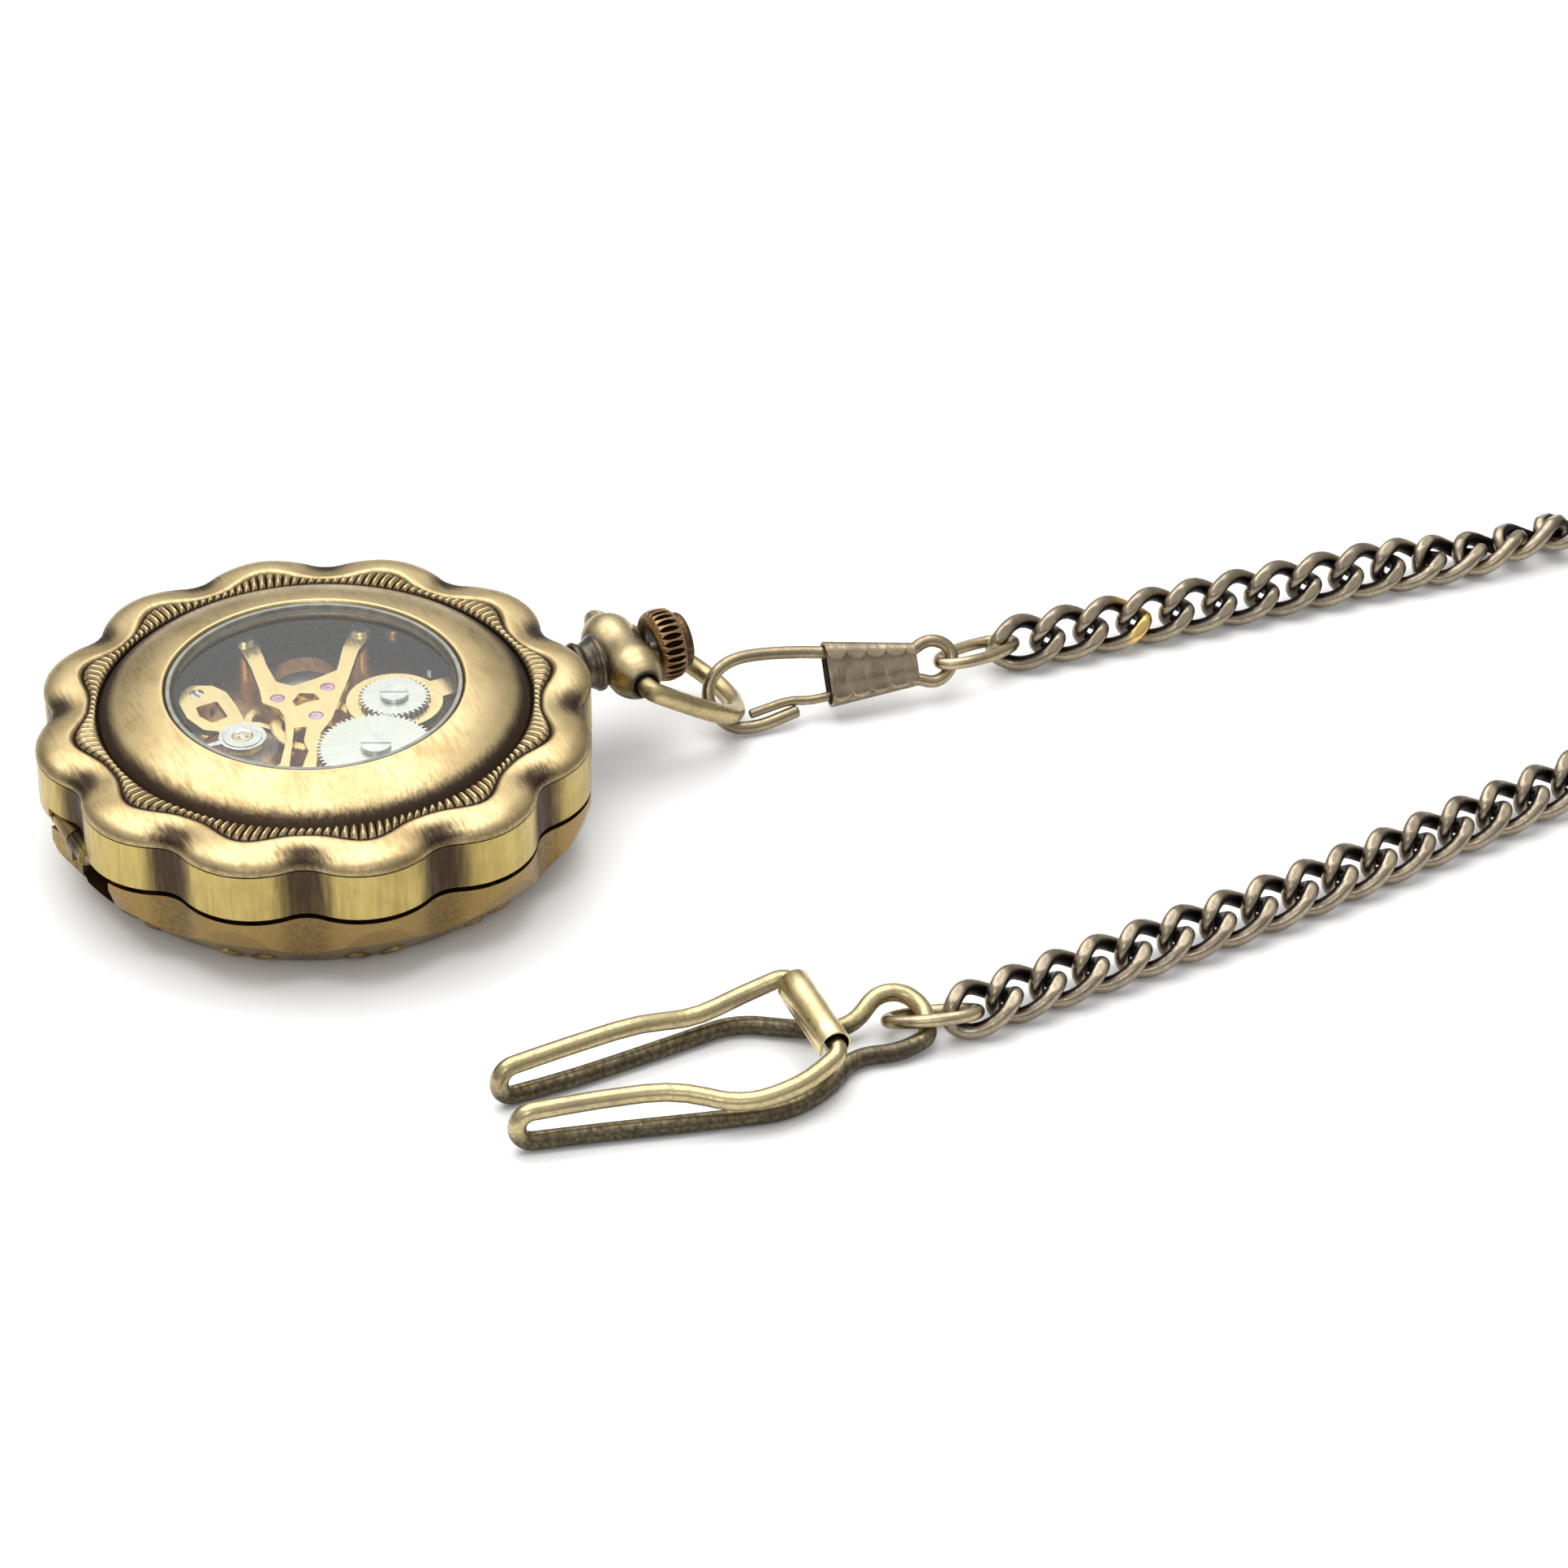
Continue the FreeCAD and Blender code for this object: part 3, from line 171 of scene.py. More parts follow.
# ---- materials ---------------------------------------------------------------------------------
class Look:
    """A small builder for one procedural material."""

    def __init__(self, name):
        self.material = bpy.data.materials.new(name)
        self.material.use_nodes = True
        self.tree = self.material.node_tree
        self.tree.nodes.clear()
        self.shader = self.tree.nodes.new("ShaderNodeBsdfPrincipled")
        self.output = self.tree.nodes.new("ShaderNodeOutputMaterial")
        self.tree.links.new(self.shader.outputs[0], self.output.inputs[0])
        self.place = self.tree.nodes.new("ShaderNodeTexCoord").outputs["Object"]

    def put(self, socket, value):
        if isinstance(value, bpy.types.NodeSocket):
            self.tree.links.new(value, socket)
        else:
            socket.default_value = value

    def stretched(self, scale, turn=(0, 0, 0)):
        node = self.tree.nodes.new("ShaderNodeMapping")
        node.inputs["Scale"].default_value = scale
        node.inputs["Rotation"].default_value = turn
        self.put(node.inputs["Vector"], self.place)
        return node.outputs[0]

    def noise(self, scale, detail, rough, where=None):
        node = self.tree.nodes.new("ShaderNodeTexNoise")
        node.inputs["Scale"].default_value = scale
        node.inputs["Detail"].default_value = detail
        node.inputs["Roughness"].default_value = rough
        self.put(node.inputs["Vector"], where or self.place)
        return node.outputs["Fac"]

    def math(self, kind, a, b=0.0):
        node = self.tree.nodes.new("ShaderNodeMath")
        node.operation = kind
        self.put(node.inputs[0], a)
        self.put(node.inputs[1], b)
        return node.outputs[0]

    def fit(self, value, low, high, to_low=0.0, to_high=1.0):
        node = self.tree.nodes.new("ShaderNodeMapRange")
        node.interpolation_type = "SMOOTHSTEP"
        self.put(node.inputs["Value"], value)
        for key, number in zip(("From Min", "From Max", "To Min", "To Max"),
                               (low, high, to_low, to_high)):
            node.inputs[key].default_value = number
        return node.outputs[0]

    def mix(self, fac, a, b):
        node = self.tree.nodes.new("ShaderNodeMix")
        node.data_type = "RGBA"
        self.put(node.inputs["Factor"], fac)
        self.put(node.inputs[6], a)
        self.put(node.inputs[7], b)
        return node.outputs[2]

    def mark(self, name):
        node = self.tree.nodes.new("ShaderNodeAttribute")
        node.attribute_name = name
        return node.outputs["Fac"]

    def split(self):
        node = self.tree.nodes.new("ShaderNodeSeparateXYZ")
        self.put(node.inputs[0], self.place)
        return node.outputs

    def bump(self, height, strength, distance):
        node = self.tree.nodes.new("ShaderNodeBump")
        node.inputs["Strength"].default_value = strength
        node.inputs["Distance"].default_value = distance
        self.put(node.inputs["Height"], height)
        self.put(self.shader.inputs["Normal"], node.outputs[0])

    def finish(self, colour, rough, metallic=1.0):
        self.put(self.shader.inputs["Base Color"], colour)
        self.put(self.shader.inputs["Roughness"], rough)
        self.shader.inputs["Metallic"].default_value = metallic
        return self.material


def rgb(r, g, b):
    return (r, g, b, 1.0)


def valleys(look):
    """1 in the hollows between the case's lobes, 0 on the lobes."""
    x, y, _ = look.split()
    turn = look.math("SUBTRACT", look.math("ARCTAN2", y, x), FIRST_LOBE)
    wave = look.math("COSINE", look.math("MULTIPLY", turn, float(LOBE_COUNT)))
    return look.fit(wave, 0.35, -1.15)


def antique(name, bright, mid, dark, patina_and_shade=1.0, brush=(260, 3600, 3600), turn=(0, 0, 0.6),
            rough=0.30, mottle=140, grain=0.35, hollows=0.0, tint=None):
    """Brushed antique metal: brighter on edge marks (rubbed wear and painted highlight), brown between,
    black-brown on recess marks (patina and painted shade).
    """
    look = Look(name)
    streaks = look.noise(1.0, 4.0, 0.6, look.stretched(brush, turn))
    cloud = look.noise(mottle, 5.0, 0.62)
    speck = look.noise(2600, 3.0, 0.7)
    base = look.mix(look.fit(cloud, 0.40, 0.68), rgb(*bright), rgb(*mid))
    base = look.mix(look.fit(streaks, 0.42, 0.72, 0.0, 0.55), base, rgb(*mid))
    # The tint mark paints a gold glint onto part of a surface: a painted highlight.
    if tint:
        base = look.mix(look.mark("tint"), base, rgb(*tint))
    # Recess mark: darkens towards the dark colour, for patina in hollows and painted shade in creases,
    # gaps, insides and undersides.
    recess = look.math("MULTIPLY", look.mark("recess"), patina_and_shade)
    # The valleys between the case's lobes darken too: patina and painted shade.
    if hollows:
        recess = look.math("MAXIMUM", recess, look.math("MULTIPLY", valleys(look), hollows))
    wander = look.math("MULTIPLY_ADD", streaks, 0.5)
    wander.node.inputs[2].default_value = -0.25
    broken = look.math("ADD", recess, look.math("MULTIPLY", wander, 0.8))
    broken = look.math("ADD", broken, look.fit(speck, 0.66, 0.80, 0.0, 0.12))
    colour = look.mix(look.fit(broken, 0.12, 0.92), base, rgb(*dark))
    # Edge mark: brightens towards a lighter colour, for rubbed wear and painted highlights.
    wear_and_highlight = look.fit(look.mark("edge"), 0.35, 0.95)
    colour = look.mix(wear_and_highlight, colour, rgb(*[min(1.0, c * 1.18) for c in bright]))
    roughness = look.math("ADD", look.fit(streaks, 0.3, 0.7, rough - 0.05, rough + 0.12),
                          look.math("MULTIPLY", recess, 0.18))
    look.bump(look.math("ADD", streaks, look.math("MULTIPLY", speck, 0.4)), grain, 0.00002)
    return look.finish(colour, roughness)


def machined(name, colour, other, rough, wear=0.4):
    """Bright machined metal with fine tool lines and slight tone changes."""
    look = Look(name)
    lines = look.noise(1.0, 3.0, 0.6, look.stretched((400, 5000, 400)))
    cloud = look.noise(900, 3.0, 0.5)
    tone = look.math("MULTIPLY", look.fit(cloud, 0.35, 0.7), wear)
    tone = look.math("ADD", tone, look.fit(lines, 0.4, 0.75, 0.0, 0.35))
    tint = look.mix(tone, rgb(*colour), rgb(*other))
    roughness = look.fit(lines, 0.3, 0.7, rough - 0.05, rough + 0.10)
    look.bump(lines, 0.2, 0.000012)
    return look.finish(tint, roughness)


def sunburst(name, centre, colour, other):
    """Radial brushing about a wheel's axis, as on winding wheels."""
    look = Look(name)
    x, y, _ = look.split()
    dx = look.math("SUBTRACT", x, centre[0] * MM)
    dy = look.math("SUBTRACT", y, centre[1] * MM)
    angle = look.math("ARCTAN2", dy, dx)
    join = look.tree.nodes.new("ShaderNodeCombineXYZ")
    look.put(join.inputs[0], look.math("MULTIPLY", look.math("COSINE", angle), 26.0))
    look.put(join.inputs[1], look.math("MULTIPLY", look.math("SINE", angle), 26.0))
    rays = look.noise(1.0, 4.0, 0.7, join.outputs[0])
    fine = look.noise(3.1, 2.0, 0.6, join.outputs[0])
    tone = look.math("ADD", look.fit(rays, 0.38, 0.68, 0.0, 0.6), look.fit(fine, 0.4, 0.7, 0.0, 0.4))
    colour = look.mix(tone, rgb(*colour), rgb(*other))
    look.bump(look.math("ADD", rays, fine), 0.25, 0.00001)
    return look.finish(colour, look.fit(rays, 0.3, 0.7, 0.24, 0.38))


STRAW = (0.55, 0.43, 0.225)
# Near-black that recess marks darken towards: patina and painted shade.
PATINA_AND_SHADE_BLACK = (0.030, 0.022, 0.018)
LOOKS = {
    "case": antique("case_bronze_look", STRAW, (0.38, 0.275, 0.13), (0.045, 0.030, 0.020), rough=0.32),
    "rope": antique("rope_bronze_look", (0.56, 0.44, 0.25), (0.38, 0.285, 0.15), PATINA_AND_SHADE_BLACK, rough=0.30),
    "band": antique("band_bronze_look", (0.49, 0.375, 0.13), (0.37, 0.275, 0.095), (0.065, 0.043, 0.028),
                    brush=(2600, 2600, 260), turn=(0, 0, 0), hollows=0.90, grain=0.5),
    "lid": antique("lid_bronze_look", (0.33, 0.225, 0.085), (0.25, 0.165, 0.062), PATINA_AND_SHADE_BLACK, mottle=60,
                   hollows=0.45),
    "head": antique("pendant_bronze_look", (0.56, 0.46, 0.26), (0.36, 0.28, 0.15), PATINA_AND_SHADE_BLACK,
                    brush=(3600, 300, 3600), turn=(0, 0, 0)),
    "bow": antique("bow_brass_look", (0.52, 0.425, 0.22), (0.28, 0.215, 0.105), PATINA_AND_SHADE_BLACK, mottle=110),
    "neck": antique("neck_dark_look", (0.17, 0.145, 0.11), (0.09, 0.075, 0.056), (0.016, 0.013, 0.011)),
    "crown": antique("crown_copper_look", (0.29, 0.175, 0.082), (0.16, 0.09, 0.043), (0.018, 0.010, 0.008),
                     brush=(3000, 300, 3000), mottle=400),
    # The chain's tint colour is a painted gold glint on one link.
    "chain": antique("chain_brass_look", (0.36, 0.30, 0.21), (0.235, 0.192, 0.148), (0.016, 0.012, 0.012),
                     brush=(900, 2600, 2600), mottle=420, rough=0.27, tint=(0.80, 0.54, 0.15)),
    "hook": antique("hook_brass_look", (0.36, 0.29, 0.175), (0.22, 0.175, 0.115), PATINA_AND_SHADE_BLACK,
                    brush=(900, 2600, 2600), mottle=160, rough=0.28),
    "clip": antique("clip_brass_look", (0.52, 0.43, 0.23), (0.25, 0.205, 0.135), (0.030, 0.024, 0.021),
                    brush=(900, 2600, 2600), mottle=95, rough=0.28),
    # Lighter than the clip's brass: a painted highlight on the roller.
    "roller": antique("roller_brass_look", (0.80, 0.67, 0.37), (0.60, 0.48, 0.25), PATINA_AND_SHADE_BLACK,
                      brush=(900, 2600, 2600), mottle=230, rough=0.30),
    "lid_relief": antique("lid_relief_look", (0.42, 0.30, 0.12), (0.24, 0.165, 0.07), PATINA_AND_SHADE_BLACK, patina_and_shade=0.8),
    "sleeve": antique("sleeve_brass_look", (0.37, 0.30, 0.20), (0.25, 0.20, 0.14), (0.04, 0.032, 0.027),
                      brush=(900, 2600, 2600), mottle=420, rough=0.27),
    "ring": antique("ring_brass_look", (0.46, 0.375, 0.23), (0.28, 0.22, 0.14), (0.03, 0.024, 0.02),
                    brush=(900, 2600, 2600), mottle=300, rough=0.27),
    "gilt": machined("gilt_look", (0.93, 0.70, 0.34), (0.78, 0.56, 0.24), rough=0.16, wear=0.25),
    "gilt_wheel": machined("gilt_wheel_look", (0.88, 0.66, 0.31), (0.66, 0.46, 0.20), rough=0.24),
    "copper": machined("copper_plate_look", (0.62, 0.33, 0.15), (0.36, 0.18, 0.08), rough=0.30, wear=0.7),
    "steel": machined("steel_look", (0.74, 0.74, 0.72), (0.50, 0.50, 0.48), rough=0.18),
    "dark_steel": machined("dark_steel_look", (0.34, 0.33, 0.32), (0.18, 0.17, 0.17), rough=0.30),
    "blued": machined("blued_steel_look", (0.03, 0.05, 0.22), (0.02, 0.03, 0.12), rough=0.18),
    "ratchet": sunburst("ratchet_sunburst_look", RATCHET_XY, (0.66, 0.65, 0.61), (0.46, 0.45, 0.42)),
    "crown_wheel": sunburst("crown_wheel_sunburst_look", CROWN_WHEEL_XY, (0.66, 0.65, 0.61),
                            (0.46, 0.45, 0.42)),
}


def glass_look(name, tint):
    """Thin crystal: clear, with a surface reflection that grows at grazing angles."""
    look = Look(name)
    clear = look.tree.nodes.new("ShaderNodeBsdfTransparent")
    clear.inputs["Color"].default_value = rgb(*tint)
    glossy = look.tree.nodes.new("ShaderNodeBsdfAnisotropic")
    glossy.inputs["Color"].default_value = rgb(1, 1, 1)
    smear = look.noise(160, 3.0, 0.5)
    look.put(glossy.inputs["Roughness"], look.fit(smear, 0.3, 0.8, 0.02, 0.07))
    facing = look.tree.nodes.new("ShaderNodeLayerWeight")
    facing.inputs["Blend"].default_value = 0.5
    steep = look.math("POWER", facing.outputs["Facing"], 4.0)
    edge = look.math("ADD", look.math("MULTIPLY", steep, 0.9), 0.035)
    join = look.tree.nodes.new("ShaderNodeMixShader")
    look.tree.links.new(edge, join.inputs[0])
    look.tree.links.new(clear.outputs[0], join.inputs[1])
    look.tree.links.new(glossy.outputs[0], join.inputs[2])
    look.tree.links.new(join.outputs[0], look.output.inputs[0])
    return look.material


def plain_look(name, colour, other, rough, scale=900):
    """A smooth non-metal surface with a slight cloud of tone and relief."""
    look = Look(name)
    cloud = look.noise(scale, 4.0, 0.55)
    look.bump(cloud, 0.1, 0.00001)
    return look.finish(look.mix(look.fit(cloud, 0.3, 0.75), rgb(*colour), rgb(*other)),
                       look.fit(cloud, 0.3, 0.7, rough, rough + 0.12), 0.0)


LOOKS["glass"] = glass_look("crystal_look", (0.97, 0.985, 0.975))
LOOKS["gasket"] = plain_look("gasket_look", (0.30, 0.30, 0.27), (0.20, 0.20, 0.18), 0.35)
LOOKS["enamel"] = plain_look("dial_enamel_look", (0.86, 0.84, 0.77), (0.80, 0.77, 0.68), 0.22, 300)
LOOKS["ruby"] = plain_look("ruby_look", (0.42, 0.20, 0.36), (0.62, 0.42, 0.58), 0.08, 1500)
LOOKS["ink"] = plain_look("dial_ink_look", (0.02, 0.02, 0.02), (0.05, 0.045, 0.04), 0.4)


# ---- camera, floor and light ---------------------------------------------------------------------
def aim(obj, at):
    """Turn a camera or light to face a point."""
    obj.rotation_euler = (Vector(at) - obj.location).to_track_quat("-Z", "Y").to_euler()


def make_camera():
    """The photograph's viewing angle and framing."""
    data = bpy.data.cameras.new("view_camera")
    data.lens = 137.85
    data.sensor_width = 36.0
    data.clip_start = 0.02
    camera = bpy.data.objects.new("view_camera", data)
    camera.location = (0.38415, -0.14440, 0.29099)
    bpy.context.scene.collection.objects.link(camera)
    aim(camera, (0.01148, 0.03737, 0.0))
    bpy.context.scene.camera = camera


def make_floor():
    look = Look("floor_look")
    cloud = look.noise(30, 2.0, 0.5)
    material = look.finish(look.mix(cloud, rgb(0.90, 0.90, 0.90), rgb(0.93, 0.93, 0.93)),
                           look.fit(cloud, 0.3, 0.7, 0.62, 0.7), 0.0)
    mesh = bpy.data.meshes.new("floor")
    r = 3.0
    mesh.from_pydata([(-r, -r, 0), (r, -r, 0), (r, r, 0), (-r, r, 0)], [], [(0, 1, 2, 3)])
    mesh.materials.append(material)
    floor = bpy.data.objects.new("floor", mesh)
    floor.location.z = -0.0001
    bpy.context.scene.collection.objects.link(floor)


def area_light(name, place, at, size, power):
    data = bpy.data.lights.new(name, "AREA")
    data.shape = "RECTANGLE"
    data.size, data.size_y = size
    data.energy = power
    light = bpy.data.objects.new(name, data)
    light.location = place
    bpy.context.scene.collection.objects.link(light)
    aim(light, at)


def make_light():
    """An even grey studio, darker near the horizon, with one large soft box overhead."""
    world = bpy.data.worlds.new("studio")
    world.use_nodes = True
    tree = world.node_tree
    shade = tree.nodes["Background"]
    place = tree.nodes.new("ShaderNodeTexCoord").outputs["Generated"]
    split = tree.nodes.new("ShaderNodeSeparateXYZ")
    tree.links.new(place, split.inputs[0])
    rise = tree.nodes.new("ShaderNodeMapRange")
    for key, number in (("From Min", 0.0), ("From Max", 0.8), ("To Min", 0.22), ("To Max", 0.85)):
        rise.inputs[key].default_value = number
    tree.links.new(split.outputs[2], rise.inputs["Value"])
    shade.inputs["Color"].default_value = (1.0, 1.0, 1.0, 1.0)
    tree.links.new(rise.outputs[0], shade.inputs["Strength"])
    bpy.context.scene.world = world
    area_light("key_light", (-0.20, 0.02, 0.74), (0.02, 0.04, 0), (0.9, 0.9), 6.6)
    area_light("back_box", (-0.60, 0.33, 0.47), (0, 0, 0.01), (0.6, 0.4), 0.4)
    area_light("front_fill", (0.55, -0.30, 0.45), (0.02, 0.04, 0), (0.35, 0.25), 0.6)


make_camera()
make_floor()
make_light()
bpy.context.scene.view_settings.view_transform = "Standard"


# ---- the exhibition back: puffy lobes, rope border and domed boss ------------------------------------
def smoothstep(value, low, high):
    t = np.clip((np.asarray(value, float) - low) / (high - low), 0, 1)
    return t * t * (3 - 2 * t)


def lobe_outline(theta, peak_r, valley_r):
    """Radius of the twelve-lobed outline: lobe arcs joined by tangent concave arcs."""
    step = math.pi / LOBE_COUNT
    hollow_at = valley_r + VALLEY_FILLET_R
    reach = hollow_at * math.cos(step)
    lobe_r = ((peak_r ** 2 + hollow_at ** 2 - 2 * peak_r * reach - VALLEY_FILLET_R ** 2)
              / (2 * (peak_r - reach + VALLEY_FILLET_R)))
    near = np.abs((theta - FIRST_LOBE + step) % (2 * step) - step)
    centre = peak_r - lobe_r
    lobe = centre * np.cos(near) + np.sqrt(np.maximum(lobe_r ** 2 - (centre * np.sin(near)) ** 2, 0))
    away = step - near
    inside = np.maximum(VALLEY_FILLET_R ** 2 - (hollow_at * np.sin(away)) ** 2, 0)
    hollow = hollow_at * np.cos(away) - np.sqrt(inside)
    share = lobe_r / (lobe_r + VALLEY_FILLET_R)
    join_x = centre + (hollow_at * math.cos(step) - centre) * share
    join_y = hollow_at * math.sin(step) * share
    return np.where(near < math.atan2(join_y, join_x), lobe, hollow)


def lobe_swing(theta):
    """1 on the middle of each lobe, 0 in the middle of each valley."""
    return 0.5 + 0.5 * np.cos(LOBE_COUNT * (theta - FIRST_LOBE))


ROPE_IN_R = 17.95


def rope_outer(theta):
    return 18.6 + 1.45 * lobe_swing(theta) ** 1.5


def ring_points(theta, radius, height):
    radius = np.broadcast_to(radius, theta.shape)
    height = np.broadcast_to(height, theta.shape)
    return np.stack([radius * np.cos(theta), radius * np.sin(theta), height], -1)


def make_back_shell():
    """The whole back cover as one closed shell, rim wall to window bore and back inside."""
    theta = np.linspace(0, TAU, 960, endpoint=False)
    rim = lobe_outline(theta, LOBE_PEAK_R, LOBE_VALLEY_R)
    rope = rope_outer(theta)
    lobe = lobe_swing(theta)
    valley = (1 - lobe) ** 2
    rows, recess, edge = [], [], []

    def add(radius, height, dark=0.0, bright=0.0):
        rows.append(ring_points(theta, radius, height))
        recess.append(np.broadcast_to(dark, theta.shape))
        edge.append(np.broadcast_to(bright, theta.shape))

    # Painted shade in the seam between cover and band.
    add(rim - 0.32, 11.0, 1.0)
    add(rim - 0.10, 11.03, 0.9)
    add(rim, 11.2, 0.25)
    for s in np.concatenate([np.linspace(1.0, 0.93, 9), np.linspace(0.9, 0.16, 22),
                             np.linspace(0.13, 0.0, 9)]):
        puff = math.sqrt(1 - s ** 2.7)
        height = 11.22 + (1.30 + 0.10 * lobe) * puff
        crease = 0.34 * np.exp(-(s / 0.08) ** 2) * (0.4 + 0.6 * lobe)
        dip = 0.20 * valley * np.exp(-((s - 0.45) / 0.3) ** 2)
        # Darkening: painted shade in the crease beside the rope and towards the rolled rim; patina and
        # painted shade in the valleys between lobes.
        brown = 0.9 * valley * smoothstep(s, 0.05, 0.7) * (1 - 0.3 * smoothstep(s, 0.92, 1.0))
        brown = np.maximum(brown, 0.40 * smoothstep(s, 0.72, 0.98))
        dark = np.maximum(0.9 * np.exp(-(s / 0.05) ** 2) + 0.30 * np.exp(-(s / 0.2) ** 2), brown)
        add(rope + (rim - rope) * s, height - crease - dip, np.clip(dark, 0, 1))
    # Painted shade under the rope border.
    add(rope - 0.1, 12.12, 1.0)
    add(ROPE_IN_R + 0.1, 12.12, 1.0)
    boss = [(17.86, 12.14), (17.8, 12.3), (17.66, 12.46), (17.45, 12.66), (17.2, 12.86), (16.85, 13.08),
            (16.4, 13.33), (15.9, 13.58), (15.3, 13.82), (14.6, 14.05), (14.0, 14.2), (13.3, 14.33),
            (12.9, 14.385), (12.6, 14.42), (12.5, 14.42), (12.4, 14.36), (12.36, 14.2)]
    # Painted shadow of the rope on the boss's outer slope; painted highlight on the window's rim.
    for radius, height in boss:
        add(radius, height, 0.92 * float(smoothstep(radius, 15.7, 17.5)),
            0.8 if 12.45 < radius < 12.8 else 0.0)
    # Painted shade inside the cover and in the window bore.
    for radius, height in ((12.2, 14.0), (12.2, 13.5), (11.7, 13.5), (11.7, 13.25), (12.2, 13.2),
                           (15.0, 13.05), (17.0, 12.5), (18.0, 11.95), (19.9, 11.6), (19.9, 11.0)):
        add(radius, height, 0.55)
    points = np.array(rows).reshape(-1, 3)
    faces = grid_faces(len(rows), len(theta), True, True)
    shell = piece("back_cover_shell", points, faces, "case", LOOKS["case"],
                  {"recess": np.array(recess), "edge": np.array(edge)})
    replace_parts(shell, "back_cover")


def make_rope():
    """The raised rope border: fourteen strands to a lobe, broad on lobes, beads in valleys."""
    strands = 14 * LOBE_COUNT
    theta = np.linspace(0, TAU, strands * 20, endpoint=False)
    outer = rope_outer(theta)
    lobe = lobe_swing(theta)
    rows, recess, edge = [], [], []
    for s in (0.0, 0.0, 0.05, 0.11, 0.18, 0.27, 0.37, 0.48, 0.6, 0.71, 0.81, 0.89, 0.95, 1.0, 1.0):
        lean = 0.9 * (s - 0.5)
        strand = np.abs(np.cos(strands * theta / 2 + lean * math.pi * 0.5)) ** 0.8
        lip = smoothstep(s, 0.90, 0.97)
        arch = (1 - abs(2 * min(s / 0.96, 1) - 1) ** 5) * (1 - lip)
        height = 12.24 + 0.06 * arch + (0.38 + 0.20 * lobe) * arch * strand + 0.05 * lip
        rows.append(ring_points(theta, ROPE_IN_R + (outer - ROPE_IN_R) * s, height))
        # Painted shade in the gaps between strands; the strand tops brighten (rubbed wear and painted
        # highlight).
        recess.append(1.0 - 0.98 * smoothstep(strand, 0.30, 0.72) * smoothstep(arch, 0.1, 0.6))
        edge.append(0.6 * smoothstep(arch * strand, 0.85, 1.0))
    rows[0][:, 2] = 12.05
    rows[-1][:, 2] = 12.05
    points = np.array(rows).reshape(-1, 3)
    faces = grid_faces(len(rows), len(theta), True, True)
    piece("rope_border", points, faces, "case", LOOKS["rope"],
          {"recess": np.array(recess), "edge": np.array(edge)})


def make_lid_relief():
    """A ring of small leaves and curls standing on the lid's sloping outside."""
    slope = math.atan2(3.35, 3.2)
    for k in range(LOBE_COUNT * 2):
        side = 1 if k % 2 else -1
        middle = FIRST_LOBE + (k + 0.5) * TAU / (LOBE_COUNT * 2)
        u = np.linspace(0, 1, 26)
        along = side * (0.2 + 2.1 * u)
        up = 0.85 + 0.9 * np.sin(u * 4.2) * (1 - 0.55 * u)
        radius = 19.35 + up * math.cos(slope)
        height = 0.42 + up * math.sin(slope)
        angle = middle + along / radius
        path = np.stack([radius * np.cos(angle), radius * np.sin(angle), height], -1)
        thick = 0.14 + 0.20 * np.sin(math.pi * np.clip(u * 1.05, 0, 1)) ** 0.8
        tube = sweep(path, thick, False, 12)
        faces = grid_faces(len(path), 12, False, True)
        piece("lid_leaf_%02d" % k, tube.reshape(-1, 3), faces, "front_cover",
              LOOKS["lid_relief"], {"recess": np.full(len(path) * 12, 0.5)})


# ---- crown, pendant, bow -------------------------------------------------------------------------
def make_crown():
    """The copper-brown crown: oval flutes round a barrel, and a turned cap."""
    flutes = 28
    profile = [(0.55, 0.0), (2.2, 0.0), (2.62, 0.05), (2.86, 0.2), (3.0, 0.42)]
    profile += [(3.0 + 0.12 * math.sin(math.pi * t), 0.42 + 1.6 * t) for t in np.linspace(0.05, 0.95, 25)]
    profile += [(3.0, 2.04), (2.9, 2.18), (2.7, 2.35), (2.42, 2.44), (2.34, 2.52), (2.42, 2.62),
                (2.42, 2.94), (2.3, 3.15), (2.0, 3.24), (0.55, 3.25)]
    turn = np.linspace(0, TAU, flutes * 20, endpoint=False)
    around = np.abs((turn * flutes / TAU) % 1.0 - 0.5) * 2
    rows, recess, edge = [], [], []
    for radius, y in profile:
        along = (y - 1.22) / 0.82
        bowl = np.clip(1.12 - (around / 0.74) ** 2 - along ** 2, 0, 1)
        depth = 0.38 * np.sqrt(bowl) if radius > 2.8 else 0 * around
        r = radius - depth
        rows.append(np.stack([r * np.cos(turn), np.full_like(turn, CROWN_Y + y),
                              STEM_Z + r * np.sin(turn)], -1))
        # Painted shade in the flutes; the turned cap and the base are darker (0.6) and the barrel slightly
        # (0.15). The ridges between flutes get a painted highlight.
        recess.append(smoothstep(depth, 0.02, 0.18) + (0.6 if radius < 2.6 else 0.15))
        edge.append(np.where((depth < 0.02) & (abs(along) < 1.0) & (radius > 2.8), 0.55, 0.0))
    points = np.array(rows).reshape(-1, 3)
    faces = grid_faces(len(rows), len(turn), True, True)
    crown = piece("crown_fluted", points, faces, "stem_and_crown", LOOKS["crown"],
                  {"recess": np.clip(np.array(recess), 0, 1), "edge": np.array(edge)})
    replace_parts(crown, "crown")


